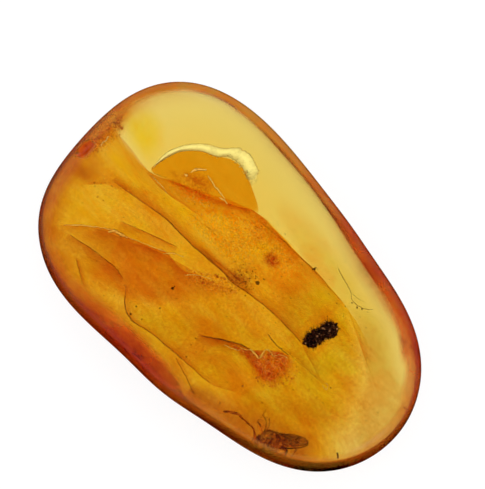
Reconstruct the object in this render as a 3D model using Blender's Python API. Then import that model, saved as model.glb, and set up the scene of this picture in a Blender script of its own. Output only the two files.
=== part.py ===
# A polished piece of Baltic amber with a gnat and a clump of bark debris sealed in it.
# Metres, +Z up. The origin is under the middle of the stone, on the surface that it rests on.
# +X runs along the stone and +Y across it. The sizes below are in millimetres.

import math

import bmesh
import bpy
import numpy as np
from mathutils import Matrix, Vector, noise

MM = 0.001
MODEL_NAME = "amber_with_gnat"

# The stone's outline seen from above: radii from its middle, at even steps counter-clockwise from +X
RIM_RADII = (14.02, 12.85, 9.95, 8.35, 8.15, 9.2, 11.8, 14.12, 14.03, 13.88, 11.95, 9.3, 8.45, 8.62, 9.92, 12.66)
# The roundness of its cross-section towards the rim at the same steps, and over the middle:
# 2 is an ellipse, more is squarer
CROWN_POWERS = (5.4, 4.7, 4.6, 4.6, 4.6, 4.6, 4.5, 4.5, 4.5, 4.5, 4.5, 4.6, 4.6, 5.0, 6.2, 6.4)
BELLY_POWERS = (3.6, 2.86, 2.62, 2.62, 2.68, 2.68, 2.72, 2.95, 3.05, 3.1, 2.66, 2.40, 2.40, 2.8, 4.4, 4.8)
MIDDLE_CROWN_POWER = 4.5
MIDDLE_BELLY_POWER = 2.7
RIM_BEGINS = 0.35
RIM_FULL = 0.85
CROWN_HEIGHT = 3.4
BELLY_DEPTH = 4.6
FLAT_SPOT_GRIND = 0.05
GIRTH_Z = BELLY_DEPTH - FLAT_SPOT_GRIND
STONE_TOP_Z = GIRTH_Z + CROWN_HEIGHT
RIM_FACETS = 72
PROFILE_FACETS = 36

# The parting that lets the sealed things be pieces of their own
PARTING_Z = 5.75
PARTING_GAP = 0.3
BLOCK_MARGIN = 5.0

# A chip out of the stone's shoulder near its -X end
CHIP_CENTRE = (-13.23, -1.27, 7.36)
CHIP_RADII = (0.54, 0.96, 0.70)

# The gnat: where its body lies, which way its head points in plan, and its shapes in its own
# axes (forward, dorsal, sideways)
GNAT_CENTRE = (9.23, -4.73, PARTING_Z)
GNAT_HEADING = math.radians(214.0)
GNAT_BODY = {
    "head": ((1.45, -0.02, 0.0), (0.19, 0.18, 0.17)),
    "eye_pair": ((1.47, 0.03, 0.0), (0.12, 0.12, 0.21)),
    "scutum": ((0.98, 0.06, 0.0), (0.44, 0.34, 0.29)),
    "pleura": ((0.95, -0.18, 0.0), (0.34, 0.28, 0.22)),
    "abdomen_base": ((0.40, -0.04, 0.0), (0.48, 0.27, 0.24)),
    "abdomen_middle": ((-0.18, -0.07, 0.0), (0.50, 0.23, 0.21)),
    "abdomen_tail": ((-0.68, -0.06, 0.0), (0.42, 0.13, 0.13)),
}
LEG_RADIUS = 0.035
GNAT_LIMBS = {
    "fore_leg_stretched": (
        (1.15, -0.15, 0.12), (1.65, 0.21, 0.20), (1.92, 0.54, 0.20), (2.34, 0.78, 0.15),
        (2.74, 0.96, 0.10), (3.00, 1.09, 0.05), (3.45, 1.14, 0.02), (3.92, 1.13, 0.0),
    ),
    "fore_leg_curled": ((1.15, -0.12, -0.12), (1.50, 0.55, -0.20), (1.76, 0.87, -0.15), (1.46, 0.98, -0.10)),
    "middle_leg_near": ((0.80, -0.25, 0.15), (1.42, -0.34, 0.30), (1.86, -0.16, 0.26)),
    "middle_leg_far": (
        (0.80, -0.25, -0.15), (1.02, -0.46, -0.26), (0.48, -0.46, -0.24), (0.22, -0.46, -0.20),
    ),
    "hind_leg_near": ((0.50, -0.20, 0.12), (-0.41, -0.36, 0.26), (0.0, -0.70, 0.22), (0.10, -0.74, 0.18)),
    "hind_leg_far": (
        (0.45, -0.20, -0.12), (-0.86, -0.38, -0.24), (-0.66, -0.72, -0.20), (-0.36, -0.80, -0.14),
    ),
}
TIBIA_SWELLING = {"fore_leg_stretched": (1.0, 1.3, 1.2, 1.0, 1.0, 1.6, 1.7, 0.9)}
ANTENNA_RADIUS = 0.025
GNAT_ANTENNAE = {
    "antenna_near": (
        (1.42, 0.08, 0.08), (1.20, 0.52, 0.14), (1.28, 1.06, 0.12), (1.50, 1.25, 0.08), (1.38, 1.62, 0.04),
    ),
    "antenna_far": ((1.42, 0.08, -0.08), (1.02, 0.58, -0.12), (1.08, 1.12, -0.08)),
}
WING_ROOT = 0.95
WING_TIP = -1.66
WING_HALF_HEIGHT = 0.30
WING_THICKNESS = 0.05
WING_SPREAD_AT_TIP = 0.24
WING_SPREAD_AT_ROOT = 0.16
WING_FACETS = 20

# The bark debris: two lumps and the splinters that stand out of them
DEBRIS_LUMPS = {
    "debris_large_lump": ((5.99, 0.98, PARTING_Z), (0.46, 0.62, 0.40)),
    "debris_small_lump": ((6.22, 2.00, PARTING_Z + 0.05), (0.42, 0.60, 0.36)),
}
DEBRIS_ROUGHNESS = 0.16
DEBRIS_GRAIN = 4.5
SPLINTER_COUNT = 14
SPLINTER_LENGTH = 0.34
SPLINTER_RADIUS = 0.05

# The pockets around the sealed things: capsules, each with its start, its end and its radius.
# Those of the gnat are in its own axes.
GNAT_POCKETS = {
    "gnat_body_pocket": ((-1.45, 0.03, 0.0), (1.50, 0.06, 0.0), 0.80),
    "gnat_leg_pocket": ((-0.66, -0.50, 0.0), (0.02, -0.44, 0.0), 0.62),
    "gnat_antenna_pocket": ((1.18, 0.45, 0.0), (1.38, 1.55, 0.0), 0.52),
    "gnat_knee_pocket": ((1.40, 0.30, 0.0), (2.30, 0.74, 0.0), 0.58),
    "gnat_shin_pocket": ((2.30, 0.74, 0.0), (3.02, 1.06, 0.0), 0.50),
    "gnat_foot_pocket": ((3.02, 1.10, 0.0), (3.92, 1.13, 0.0), 0.48),
}
DEBRIS_POCKETS = {"debris_pocket": ((5.97, 0.78, PARTING_Z), (6.24, 2.22, PARTING_Z), 0.95)}

AMBER_COLOUR = (0.86, 0.47, 0.04, 0.45)
GNAT_COLOUR = (0.09, 0.035, 0.015, 1.0)
DEBRIS_COLOUR = (0.025, 0.012, 0.01, 1.0)


def clear_scene():
    for old in list(bpy.data.objects):
        bpy.data.objects.remove(old, do_unlink=True)


def make_collection(name, parent):
    collection = bpy.data.collections.new(name)
    parent.children.link(collection)
    return collection


def make_material(name, colour, roughness, transmission=0.0):
    material = bpy.data.materials.new(name)
    material.use_nodes = True
    material.diffuse_color = colour
    shader = material.node_tree.nodes["Principled BSDF"]
    shader.inputs["Base Color"].default_value = colour
    shader.inputs["Roughness"].default_value = roughness
    shader.inputs["Metallic"].default_value = 0.0
    shader.inputs["Transmission Weight"].default_value = transmission
    shader.inputs["IOR"].default_value = 1.54
    return material


def add_object(name, bm, collection, material=None):
    mesh = bpy.data.meshes.new(name)
    bm.to_mesh(mesh)
    bm.free()
    mesh.shade_smooth()
    mesh.set_sharp_from_angle(angle=math.radians(40))
    if material:
        mesh.materials.append(material)
    made = bpy.data.objects.new(name, mesh)
    collection.objects.link(made)
    return made


def as_cutter(made):
    made.hide_render = True
    made.display_type = "WIRE"
    return made


def add_boolean(target, operation, operand):
    modifier = target.modifiers.new(operation.lower(), "BOOLEAN")
    modifier.operation = operation
    modifier.solver = "EXACT"
    if isinstance(operand, bpy.types.Collection):
        modifier.operand_type = "COLLECTION"
        modifier.collection = operand
    else:
        modifier.object = operand


# The stone


def around(values, angles):
    """A smooth closed curve through values given at even steps around the rim."""
    count = len(values)
    spectrum = np.fft.rfft(values) / count
    total = np.full_like(angles, spectrum[0].real)
    for k in range(1, len(spectrum)):
        weight = 1.0 if 2 * k == count else 2.0
        total += weight * (spectrum[k] * np.exp(1j * k * angles)).real
    return total


def stone_points(directions):
    """Move points of a unit sphere onto the stone, about the middle of its girth."""
    across = np.hypot(directions[:, 0], directions[:, 1])
    height = np.abs(directions[:, 2])
    angles = np.arctan2(directions[:, 1], directions[:, 0])
    is_crown = directions[:, 2] > 0
    rim_share = np.clip((across - RIM_BEGINS) / (RIM_FULL - RIM_BEGINS), 0, 1)
    rim_share = rim_share**2 * (3 - 2 * rim_share)
    rim_power = np.where(is_crown, around(CROWN_POWERS, angles), around(BELLY_POWERS, angles))
    middle_power = np.where(is_crown, MIDDLE_CROWN_POWER, MIDDLE_BELLY_POWER)
    power = middle_power + (rim_power - middle_power) * rim_share
    size = (across**power + height**power) ** (1.0 / power)
    reach = around(RIM_RADII, angles) / size
    depth = np.where(is_crown, CROWN_HEIGHT, BELLY_DEPTH) / size
    points = np.column_stack((directions[:, 0] * reach, directions[:, 1] * reach, directions[:, 2] * depth))
    middle = (points.min(axis=0) + points.max(axis=0)) / 2
    return points - (middle[0], middle[1], -GIRTH_Z)


def stone_solid():
    bm = bmesh.new()
    bmesh.ops.create_uvsphere(bm, u_segments=RIM_FACETS, v_segments=PROFILE_FACETS, radius=1.0)
    directions = np.array([tuple(vert.co) for vert in bm.verts])
    for vert, point in zip(bm.verts, stone_points(directions)):
        vert.co = Vector(point) * MM
    return bm


def block(name, low_z, high_z, collection):
    """A box wider than the stone, between two heights."""
    bm = bmesh.new()
    bmesh.ops.create_cube(bm, size=1.0)
    width = 2 * (max(RIM_RADII) + BLOCK_MARGIN)
    bmesh.ops.scale(bm, vec=(width * MM, width * MM, (high_z - low_z) * MM), verts=bm.verts)
    bmesh.ops.translate(bm, vec=(0, 0, (low_z + high_z) / 2 * MM), verts=bm.verts)
    return as_cutter(add_object(name, bm, collection))


def build_stone(parts, cutters, pockets, material):
    spans = {
        "amber_upper": (PARTING_Z + PARTING_GAP / 2, STONE_TOP_Z + BLOCK_MARGIN),
        "amber_lower": (0.0, PARTING_Z - PARTING_GAP / 2),
    }
    for name, (low_z, high_z) in spans.items():
        half = add_object(name, stone_solid(), parts, material)
        add_boolean(half, "INTERSECT", block(name + "_block", low_z, high_z, cutters))
        add_boolean(half, "DIFFERENCE", pockets)
        if name == "amber_upper":
            chip = as_cutter(ellipsoid("chip", CHIP_CENTRE, CHIP_RADII, cutters, segments=32, rings=20))
            add_boolean(half, "DIFFERENCE", chip)


# Simple closed shapes


def gnat_axes():
    """The gnat's own axes, in metres, as columns: forward, dorsal and sideways."""
    forward = Vector((math.cos(GNAT_HEADING), math.sin(GNAT_HEADING), 0.0))
    dorsal = Vector((math.sin(GNAT_HEADING), -math.cos(GNAT_HEADING), 0.0))
    sideways = forward.cross(dorsal)
    turn = Matrix((forward, dorsal, sideways)).transposed().to_4x4()
    return Matrix.Translation(Vector(GNAT_CENTRE) * MM) @ turn @ Matrix.Scale(MM, 4)


PLAIN_AXES = Matrix.Scale(MM, 4)


def ellipsoid(name, centre, radii, collection, axes=PLAIN_AXES, segments=14, rings=9, material=None):
    bm = bmesh.new()
    bmesh.ops.create_uvsphere(bm, u_segments=segments, v_segments=rings, radius=1.0)
    bmesh.ops.scale(bm, vec=radii, verts=bm.verts)
    bmesh.ops.translate(bm, vec=centre, verts=bm.verts)
    bmesh.ops.transform(bm, matrix=axes, verts=bm.verts)
    return add_object(name, bm, collection, material)


def capsule(name, start, end, radius, collection, axes=PLAIN_AXES, segments=20, rings=11):
    """A ball stretched from start to end. An odd number of rings keeps its equator free of points."""
    start = Vector(start)
    end = Vector(end)
    along = end - start
    bm = bmesh.new()
    bmesh.ops.create_uvsphere(bm, u_segments=segments, v_segments=rings, radius=radius)
    for vert in bm.verts:
        vert.co.z += math.copysign(along.length / 2, vert.co.z)
    turn = along.to_track_quat("Z", "Y").to_matrix().to_4x4()
    matrix = axes @ Matrix.Translation((start + end) / 2) @ turn
    bmesh.ops.transform(bm, matrix=matrix, verts=bm.verts)
    return as_cutter(add_object(name, bm, collection))


def limb(name, points, radius, swellings, collection, axes):
    """A closed tube along points, as a mesh, with a radius factor at each point."""
    curve = bpy.data.curves.new(name, "CURVE")
    curve.dimensions = "3D"
    curve.bevel_depth = radius
    curve.bevel_resolution = 0
    curve.resolution_u = 1
    curve.use_fill_caps = True
    spline = curve.splines.new("POLY")
    spline.points.add(len(points) - 1)
    for target, point, swelling in zip(spline.points, points, swellings):
        target.co = (*point, 1.0)
        target.radius = swelling
    drawn = bpy.data.objects.new(name, curve)
    collection.objects.link(drawn)
    bpy.context.view_layer.update()
    depsgraph = bpy.context.evaluated_depsgraph_get()
    mesh = bpy.data.meshes.new_from_object(drawn.evaluated_get(depsgraph))
    bpy.data.objects.remove(drawn, do_unlink=True)
    bm = bmesh.new()
    bm.from_mesh(mesh)
    bpy.data.meshes.remove(mesh)
    bmesh.ops.remove_doubles(bm, verts=bm.verts, dist=radius * 0.01)
    bmesh.ops.recalc_face_normals(bm, faces=bm.faces)
    bmesh.ops.transform(bm, matrix=axes, verts=bm.verts)
    return as_cutter(add_object(name, bm, collection))


# The gnat


def wing(name, side, collection, axes):
    """A thin blade along the abdomen, broad behind its middle, that leans out towards its tip."""
    bm = bmesh.new()
    bmesh.ops.create_circle(bm, cap_ends=True, segments=WING_FACETS, radius=1.0)
    extruded = bmesh.ops.extrude_face_region(bm, geom=bm.faces[:])
    top = [item for item in extruded["geom"] if isinstance(item, bmesh.types.BMVert)]
    bmesh.ops.translate(bm, vec=(0, 0, 1), verts=top)
    length = WING_ROOT - WING_TIP
    for vert in bm.verts:
        toward_tip = (1 - vert.co.x) / 2
        breadth = WING_HALF_HEIGHT * (0.45 + 0.55 * math.sin(math.pi * min(1.0, 0.25 + 0.6 * toward_tip)))
        spread = WING_SPREAD_AT_ROOT + (WING_SPREAD_AT_TIP - WING_SPREAD_AT_ROOT) * toward_tip
        vert.co = Vector((
            WING_ROOT - length * toward_tip,
            0.02 + vert.co.y * breadth,
            side * (spread + WING_THICKNESS * vert.co.z),
        ))
    bmesh.ops.recalc_face_normals(bm, faces=bm.faces)
    bmesh.ops.transform(bm, matrix=axes, verts=bm.verts)
    return as_cutter(add_object(name, bm, collection))


def build_gnat(parts, shapes, material):
    axes = gnat_axes()
    centre, radii = GNAT_BODY["scutum"]
    gnat = ellipsoid("gnat", centre, radii, parts, axes, material=material)
    for name, (centre, radii) in GNAT_BODY.items():
        if name != "scutum":
            as_cutter(ellipsoid(name, centre, radii, shapes, axes))
    for name, points in GNAT_LIMBS.items():
        swellings = TIBIA_SWELLING.get(name, (1.3,) + (1.0,) * (len(points) - 1))
        limb(name, points, LEG_RADIUS, swellings, shapes, axes)
    for name, points in GNAT_ANTENNAE.items():
        limb(name, points, ANTENNA_RADIUS, (1.0,) * len(points), shapes, axes)
    wing("wing_near", 1, shapes, axes)
    wing("wing_far", -1, shapes, axes)
    add_boolean(gnat, "UNION", shapes)


# The bark debris


def rough_lump(name, centre, radii, collection, material=None):
    bm = bmesh.new()
    bmesh.ops.create_icosphere(bm, subdivisions=3, radius=1.0)
    for vert in bm.verts:
        push = 1 + DEBRIS_ROUGHNESS * noise.noise(vert.co * DEBRIS_GRAIN + Vector(centre))
        vert.co *= push
    bmesh.ops.scale(bm, vec=radii, verts=bm.verts)
    bmesh.ops.translate(bm, vec=centre, verts=bm.verts)
    bmesh.ops.transform(bm, matrix=PLAIN_AXES, verts=bm.verts)
    return add_object(name, bm, collection, material)


def splinter(index, collection):
    """A short spike out of one of the lumps, at an even spread of directions."""
    centre, radii = list(DEBRIS_LUMPS.values())[index % len(DEBRIS_LUMPS)]
    golden_angle = math.pi * (3 - math.sqrt(5))
    height = 1 - 2 * (index + 0.5) / SPLINTER_COUNT
    level = math.sqrt(1 - height * height)
    turn = golden_angle * index
    direction = Vector((level * math.cos(turn), level * math.sin(turn), height))
    foot = Vector(centre) + Vector(a * b * 0.6 for a, b in zip(direction, radii))
    tip = Vector(centre) + Vector(a * (b + SPLINTER_LENGTH * 0.7) for a, b in zip(direction, radii))
    bm = bmesh.new()
    bmesh.ops.create_cone(
        bm, cap_ends=True, segments=5, radius1=SPLINTER_RADIUS, radius2=SPLINTER_RADIUS * 0.3, depth=1.0
    )
    bmesh.ops.scale(bm, vec=(1, 1, (tip - foot).length), verts=bm.verts)
    aim = (tip - foot).to_track_quat("Z", "Y").to_matrix().to_4x4()
    matrix = PLAIN_AXES @ Matrix.Translation((foot + tip) / 2) @ aim
    bmesh.ops.transform(bm, matrix=matrix, verts=bm.verts)
    return as_cutter(add_object("splinter_%02d" % index, bm, collection))


def build_debris(parts, shapes, material):
    names = list(DEBRIS_LUMPS)
    debris = rough_lump("bark_debris", *DEBRIS_LUMPS[names[0]], parts, material)
    for name in names[1:]:
        as_cutter(rough_lump(name, *DEBRIS_LUMPS[name], shapes))
    for index in range(SPLINTER_COUNT):
        splinter(index, shapes)
    add_boolean(debris, "UNION", shapes)


def build_pockets(pockets):
    for name, (start, end, radius) in GNAT_POCKETS.items():
        capsule(name, start, end, radius, pockets, gnat_axes())
    for name, (start, end, radius) in DEBRIS_POCKETS.items():
        capsule(name, start, end, radius, pockets)


def main():
    clear_scene()
    scene_root = bpy.context.scene.collection
    parts = make_collection(MODEL_NAME, scene_root)
    cutters = make_collection("cutters", scene_root)
    pockets = make_collection("pockets", cutters)
    gnat_shapes = make_collection("gnat_shapes", cutters)
    debris_shapes = make_collection("debris_shapes", cutters)
    amber = make_material("amber", AMBER_COLOUR, 0.02, transmission=1.0)
    chitin = make_material("chitin", GNAT_COLOUR, 0.45)
    bark = make_material("bark", DEBRIS_COLOUR, 0.85)
    build_pockets(pockets)
    build_stone(parts, cutters, pockets, amber)
    build_gnat(parts, gnat_shapes, chitin)
    build_debris(parts, debris_shapes, bark)


main()
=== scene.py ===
# Looks of the polished amber with its gnat: the clear stone, the flows, seams, cracks and grains inside it,
# the gnat, the bark debris, the studio and the camera. Sizes are in millimetres until a mesh is made.
# A feature inside the stone is placed by the photograph's pixels and by its own height above the ground.

import math
import random

import bmesh
import bpy
import numpy as np
from mathutils import Matrix, Vector, noise
from mathutils.bvhtree import BVHTree


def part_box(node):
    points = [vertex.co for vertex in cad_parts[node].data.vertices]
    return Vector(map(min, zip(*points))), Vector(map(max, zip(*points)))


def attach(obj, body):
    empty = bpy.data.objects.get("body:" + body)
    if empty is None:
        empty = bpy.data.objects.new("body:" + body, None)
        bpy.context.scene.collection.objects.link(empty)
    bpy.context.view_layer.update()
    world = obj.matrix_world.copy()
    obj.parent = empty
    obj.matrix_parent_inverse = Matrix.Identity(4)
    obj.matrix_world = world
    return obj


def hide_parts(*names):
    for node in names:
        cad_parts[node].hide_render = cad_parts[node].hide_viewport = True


MM = 0.001
SEED = 7

# The photograph's frame and where its camera stood
PHOTO_WIDTH = 485
PHOTO_HEIGHT = 489
CAMERA_AZIMUTH = math.radians(46.5)
CAMERA_ELEVATION = math.radians(80.0)
CAMERA_DISTANCE = 320.0
PIXEL = 0.06493
STONE_COLUMN = 238.0
STONE_ROW = 291.15
AIM = np.array((0.0, 0.0, 3.0))
AMBER_IOR = 1.54
MATTER_IOR = 1.08

# The stone, as the construction has it. Radii, powers and strengths stand at even steps around the rim.
RIM_RADII = (
    14.02, 12.85, 9.95, 8.35, 8.15, 9.2, 11.8, 14.12, 14.03, 13.88, 11.95, 9.3, 8.45, 8.62, 9.92, 12.66,
)
CROWN_POWERS = (5.4, 4.7, 4.6, 4.6, 4.6, 4.6, 4.5, 4.5, 4.5, 4.5, 4.5, 4.6, 4.6, 5.0, 6.2, 6.4)
BELLY_POWERS = (3.6, 2.86, 2.62, 2.62, 2.68, 2.68, 2.72, 2.95, 3.05, 3.1, 2.66, 2.40, 2.40, 2.8, 4.4, 4.8)
MIDDLE_CROWN_POWER = 4.5
MIDDLE_BELLY_POWER = 2.7
RIM_BEGINS = 0.35
RIM_FULL = 0.85
CROWN_HEIGHT = 3.4
BELLY_DEPTH = 4.6
GIRTH_Z = 4.55
STONE_CUTS = 112
POLISH_WAVE = 0.02
POLISH_WAVE_LENGTH = 5.0
POLISH_SINK = 0.6
CHIP_CENTRE = (-13.23, -1.27, 7.36)
CHIP_RADII = (0.54, 0.96, 0.70)
CHIP_RIPPLES = 26
CHIP_RIPPLE = 0.035
CHIP_GRAIN = 0.05
CHIP_GRAIN_SCALE = 3.1
DEEPEST_SHARE = 0.97
FILM = 0.02

# How much of the reddish weathered rind the polish left, around the rim
RIND_STRENGTHS = (0.15, 0.9, 1.0, 0.8, 0.45, 0.2, 0.15, 0.2, 0.55, 0.75, 0.85, 1.0, 1.0, 0.25, 0.05, 0.05)

# Light taken per metre of amber, in red, green and blue
AMBER_ABSORPTION = (18.0, 60.0, 300.0)

rng = random.Random(SEED)
noise.seed_set(SEED)
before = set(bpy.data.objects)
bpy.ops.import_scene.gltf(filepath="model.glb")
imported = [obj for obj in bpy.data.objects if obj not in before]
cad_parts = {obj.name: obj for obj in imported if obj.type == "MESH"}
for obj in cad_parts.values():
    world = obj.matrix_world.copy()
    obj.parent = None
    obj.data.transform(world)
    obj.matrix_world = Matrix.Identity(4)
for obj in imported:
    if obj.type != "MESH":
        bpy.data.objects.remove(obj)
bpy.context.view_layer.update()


# Small helpers


def smoothstep(low, high, value):
    share = np.clip((value - low) / (high - low), 0, 1)
    return share * share * (3 - 2 * share)


def unit(vector):
    return vector / np.linalg.norm(vector)


def smooth_path(points, count, closed=False):
    """A Catmull-Rom curve through points, at count even steps of its own parameter."""
    points = np.array(points, float)
    total = len(points)
    spans = total if closed else total - 1
    places = np.arange(count) / (count if closed else count - 1) * spans
    first = np.minimum(places.astype(int), spans - 1)
    part = (places - first)[:, None]
    if closed:
        a, b, c, d = (points[(first + step) % total] for step in (-1, 0, 1, 2))
    else:
        a, b, c, d = (points[np.clip(first + step, 0, total - 1)] for step in (-1, 0, 1, 2))
    return 0.5 * (
        2 * b + (c - a) * part + (2 * a - 5 * b + 4 * c - d) * part**2 + (3 * b - a - 3 * c + d) * part**3
    )


def wobble(points, size, length, seed=0.0):
    """Shift points by smooth noise of the given size and wave length."""
    shift = Vector((seed, 2.3 * seed, -1.7 * seed))
    size = float(size)
    moved = [Vector(point) + size * noise.noise_vector(Vector(point) / length + shift) for point in points]
    return np.array(moved)


def swelling(line, depth, frequency):
    """How thick an uneven line is at each point, as a share of its usual thickness."""
    return np.array([1 + depth * noise.noise(Vector(point) * frequency) for point in line])


def taper(count, end):
    """Shares that rise at one end of a line and sink towards the other."""
    return np.sin(np.linspace(end, 1 - end, count) * math.pi) ** 0.5


def random_vector():
    return np.array([rng.gauss(0, 1) for _ in range(3)])


def random_turn():
    return np.array(Matrix.Rotation(rng.uniform(0, math.tau), 3, Vector(random_vector())))


class Shape:
    """Corners and faces gathered from several closed forms, in millimetres."""

    def __init__(self):
        self.corners = []
        self.faces = []
        self.fades = []
        self.slots = []

    def add(self, corners, faces, fades=None, slot=0):
        start = len(self.corners)
        self.corners.extend(tuple(float(value) for value in corner) for corner in corners)
        self.faces.extend(tuple(start + index for index in face) for face in faces)
        self.fades.extend([1.0] * len(corners) if fades is None else [float(fade) for fade in fades])
        self.slots.extend([slot] * len(faces))


def loft(shape, rings, slot=0, fades=None):
    """Close a row of rings of equal length into one form, with a point at each end."""
    sides = len(rings[0])
    corners = [rings[0].mean(axis=0)]
    corners.extend(corner for ring in rings for corner in ring)
    corners.append(rings[-1].mean(axis=0))
    faces = [(0, 1 + (side + 1) % sides, 1 + side) for side in range(sides)]
    for row in range(len(rings) - 1):
        for side in range(sides):
            low = 1 + row * sides
            high = low + sides
            after = (side + 1) % sides
            faces.append((low + side, low + after, high + after, high + side))
    last = 1 + (len(rings) - 1) * sides
    faces.extend((last + side, last + (side + 1) % sides, last + sides) for side in range(sides))
    if fades is not None:
        spread = [np.broadcast_to(fade, (sides,)) for fade in fades]
        fades = [spread[0].mean(), *np.concatenate(spread), spread[-1].mean()]
    shape.add(corners, faces, fades, slot)


def tube(shape, path, radii, sides=5, slot=0, fades=None, flat=1.0):
    """A closed tube along a path, with a radius at each point."""
    path = np.array(path, float)
    radii = np.broadcast_to(radii, (len(path),))
    along = np.gradient(path, axis=0)
    side = np.cross(along[0], (0.0, 0.0, 1.0))
    if np.linalg.norm(side) < 1e-6:
        side = np.array((1.0, 0.0, 0.0))
    rings = []
    for point, direction, radius in zip(path, along, radii):
        direction = unit(direction)
        side = unit(side - direction * (side @ direction))
        other = np.cross(direction, side)
        turns = np.arange(sides) / sides * math.tau
        rings.append(point + radius * (np.outer(np.cos(turns), side) + flat * np.outer(np.sin(turns), other)))
    loft(shape, rings, slot, fades)


def sheet(shape, grid, thickness, fades=None, slot=0):
    """A thin closed plate through a grid of points, rows by columns."""
    rows, columns = grid.shape[:2]
    normals = np.cross(np.gradient(grid, axis=0), np.gradient(grid, axis=1))
    normals /= np.maximum(np.linalg.norm(normals, axis=2, keepdims=True), 1e-9)
    corners = np.concatenate(((grid + normals * thickness / 2).reshape(-1, 3),
                              (grid - normals * thickness / 2).reshape(-1, 3)))
    under = rows * columns
    faces = []
    for row in range(rows - 1):
        for column in range(columns - 1):
            a = row * columns + column
            b, c, d = a + 1, a + columns + 1, a + columns
            faces.append((a, b, c, d))
            faces.append((under + d, under + c, under + b, under + a))
    edge = list(range(columns))
    edge += [row * columns + columns - 1 for row in range(1, rows)]
    edge += [(rows - 1) * columns + column for column in range(columns - 2, -1, -1)]
    edge += [row * columns for row in range(rows - 2, 0, -1)]
    for here, there in zip(edge, edge[1:] + edge[:1]):
        faces.append((there, here, under + here, under + there))
    both = None if fades is None else np.concatenate((fades.ravel(), fades.ravel()))
    shape.add(corners, faces, both, slot)


OCTAHEDRON = np.array(((1, 0, 0), (-1, 0, 0), (0, 1, 0), (0, -1, 0), (0, 0, 1), (0, 0, -1)), float)
OCTAHEDRON_FACES = (
    (0, 2, 4), (2, 1, 4), (1, 3, 4), (3, 0, 4), (2, 0, 5), (1, 2, 5), (3, 1, 5), (0, 3, 5),
)


def fleck(shape, centre, size, flatness=0.3, slot=0, turn=None):
    """A small irregular flake."""
    corners = OCTAHEDRON * (size, size * rng.uniform(0.6, 1.0), size * flatness)
    corners = corners * (1 + 0.3 * np.array([[rng.uniform(-1, 1)] for _ in range(6)]))
    turn = random_turn() if turn is None else turn
    shape.add(corners @ turn.T + centre, OCTAHEDRON_FACES, None, slot)


def ball(shape, centre, radii, turn=None, roughness=0.0, grain=1.0, slices=18, slot=0):
    """An ellipsoid with an uneven skin, closed at its poles by points."""
    steps = np.linspace(0, math.pi, slices // 2 + 1)[1:-1]
    turns = np.arange(slices) / slices * math.tau
    rings = []
    for step in steps:
        level = np.column_stack((math.sin(step) * np.cos(turns), math.sin(step) * np.sin(turns),
                                 np.full(slices, math.cos(step))))
        if roughness:
            push = [1 + roughness * noise.noise(Vector(point) * grain + Vector(centre)) for point in level]
            level = level * np.array(push)[:, None]
        level = level * radii
        if turn is not None:
            level = level @ np.array(turn).T
        rings.append(level + centre)
    loft(shape, rings, slot)


def add_mark(mesh, name, values):
    """Let a mesh carry a value at each corner, for its material to read."""
    mark = mesh.attributes.new(name, "FLOAT", "POINT")
    mark.data.foreach_set("value", values)


def add_piece(name, shape, materials, sharp=None):
    """Make a piece of a shape, with its faces pointing out, riding on the part."""
    mesh = bpy.data.meshes.new(name)
    mesh.from_pydata([tuple(value * MM for value in corner) for corner in shape.corners], [], shape.faces)
    for material in materials:
        mesh.materials.append(material)
    mesh.polygons.foreach_set("material_index", shape.slots)
    add_mark(mesh, "fade", shape.fades)
    bm = bmesh.new()
    bm.from_mesh(mesh)
    bmesh.ops.recalc_face_normals(bm, faces=bm.faces)
    bm.to_mesh(mesh)
    bm.free()
    mesh.shade_smooth()
    if sharp is not None:
        mesh.set_sharp_from_angle(angle=math.radians(sharp))
    piece = bpy.data.objects.new(name, mesh)
    bpy.context.scene.collection.objects.link(piece)
    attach(piece, "root")
    return piece


# The camera and its view


def camera_axes():
    azimuth, elevation = CAMERA_AZIMUTH, CAMERA_ELEVATION
    right = np.array((math.cos(azimuth), math.sin(azimuth), 0.0))
    back = np.array((
        math.sin(azimuth) * math.cos(elevation),
        -math.cos(azimuth) * math.cos(elevation),
        math.sin(elevation),
    ))
    return right, np.cross(back, right), back


CAMERA_RIGHT, CAMERA_UP, CAMERA_BACK = camera_axes()


def make_camera():
    data = bpy.data.cameras.new("photo_camera")
    half_frame = PHOTO_HEIGHT / 2 * PIXEL / CAMERA_DISTANCE
    data.lens = data.sensor_width / 2 / half_frame
    data.clip_start = 0.01
    data.clip_end = 10.0
    data.shift_x = -(STONE_COLUMN - PHOTO_WIDTH / 2) / PHOTO_HEIGHT
    data.shift_y = (STONE_ROW - PHOTO_HEIGHT / 2) / PHOTO_HEIGHT
    camera = bpy.data.objects.new("photo_camera", data)
    bpy.context.scene.collection.objects.link(camera)
    camera.location = (AIM + CAMERA_BACK * CAMERA_DISTANCE) * MM
    camera.rotation_mode = "QUATERNION"
    camera.rotation_quaternion = Vector(-CAMERA_BACK).to_track_quat("-Z", "Y")
    bpy.context.scene.camera = camera


# The stone


def around(values, angles):
    """A smooth closed curve through values given at even steps around the rim."""
    count = len(values)
    spectrum = np.fft.rfft(values) / count
    total = np.full_like(angles, spectrum[0].real)
    for k in range(1, len(spectrum)):
        weight = 1.0 if 2 * k == count else 2.0
        total += weight * (spectrum[k] * np.exp(1j * k * angles)).real
    return total


def stone_power(across, angles, is_crown):
    rim_share = smoothstep(RIM_BEGINS, RIM_FULL, across)
    rim_power = np.where(is_crown, around(CROWN_POWERS, angles), around(BELLY_POWERS, angles))
    middle_power = np.where(is_crown, MIDDLE_CROWN_POWER, MIDDLE_BELLY_POWER)
    return middle_power + (rim_power - middle_power) * rim_share


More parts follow.
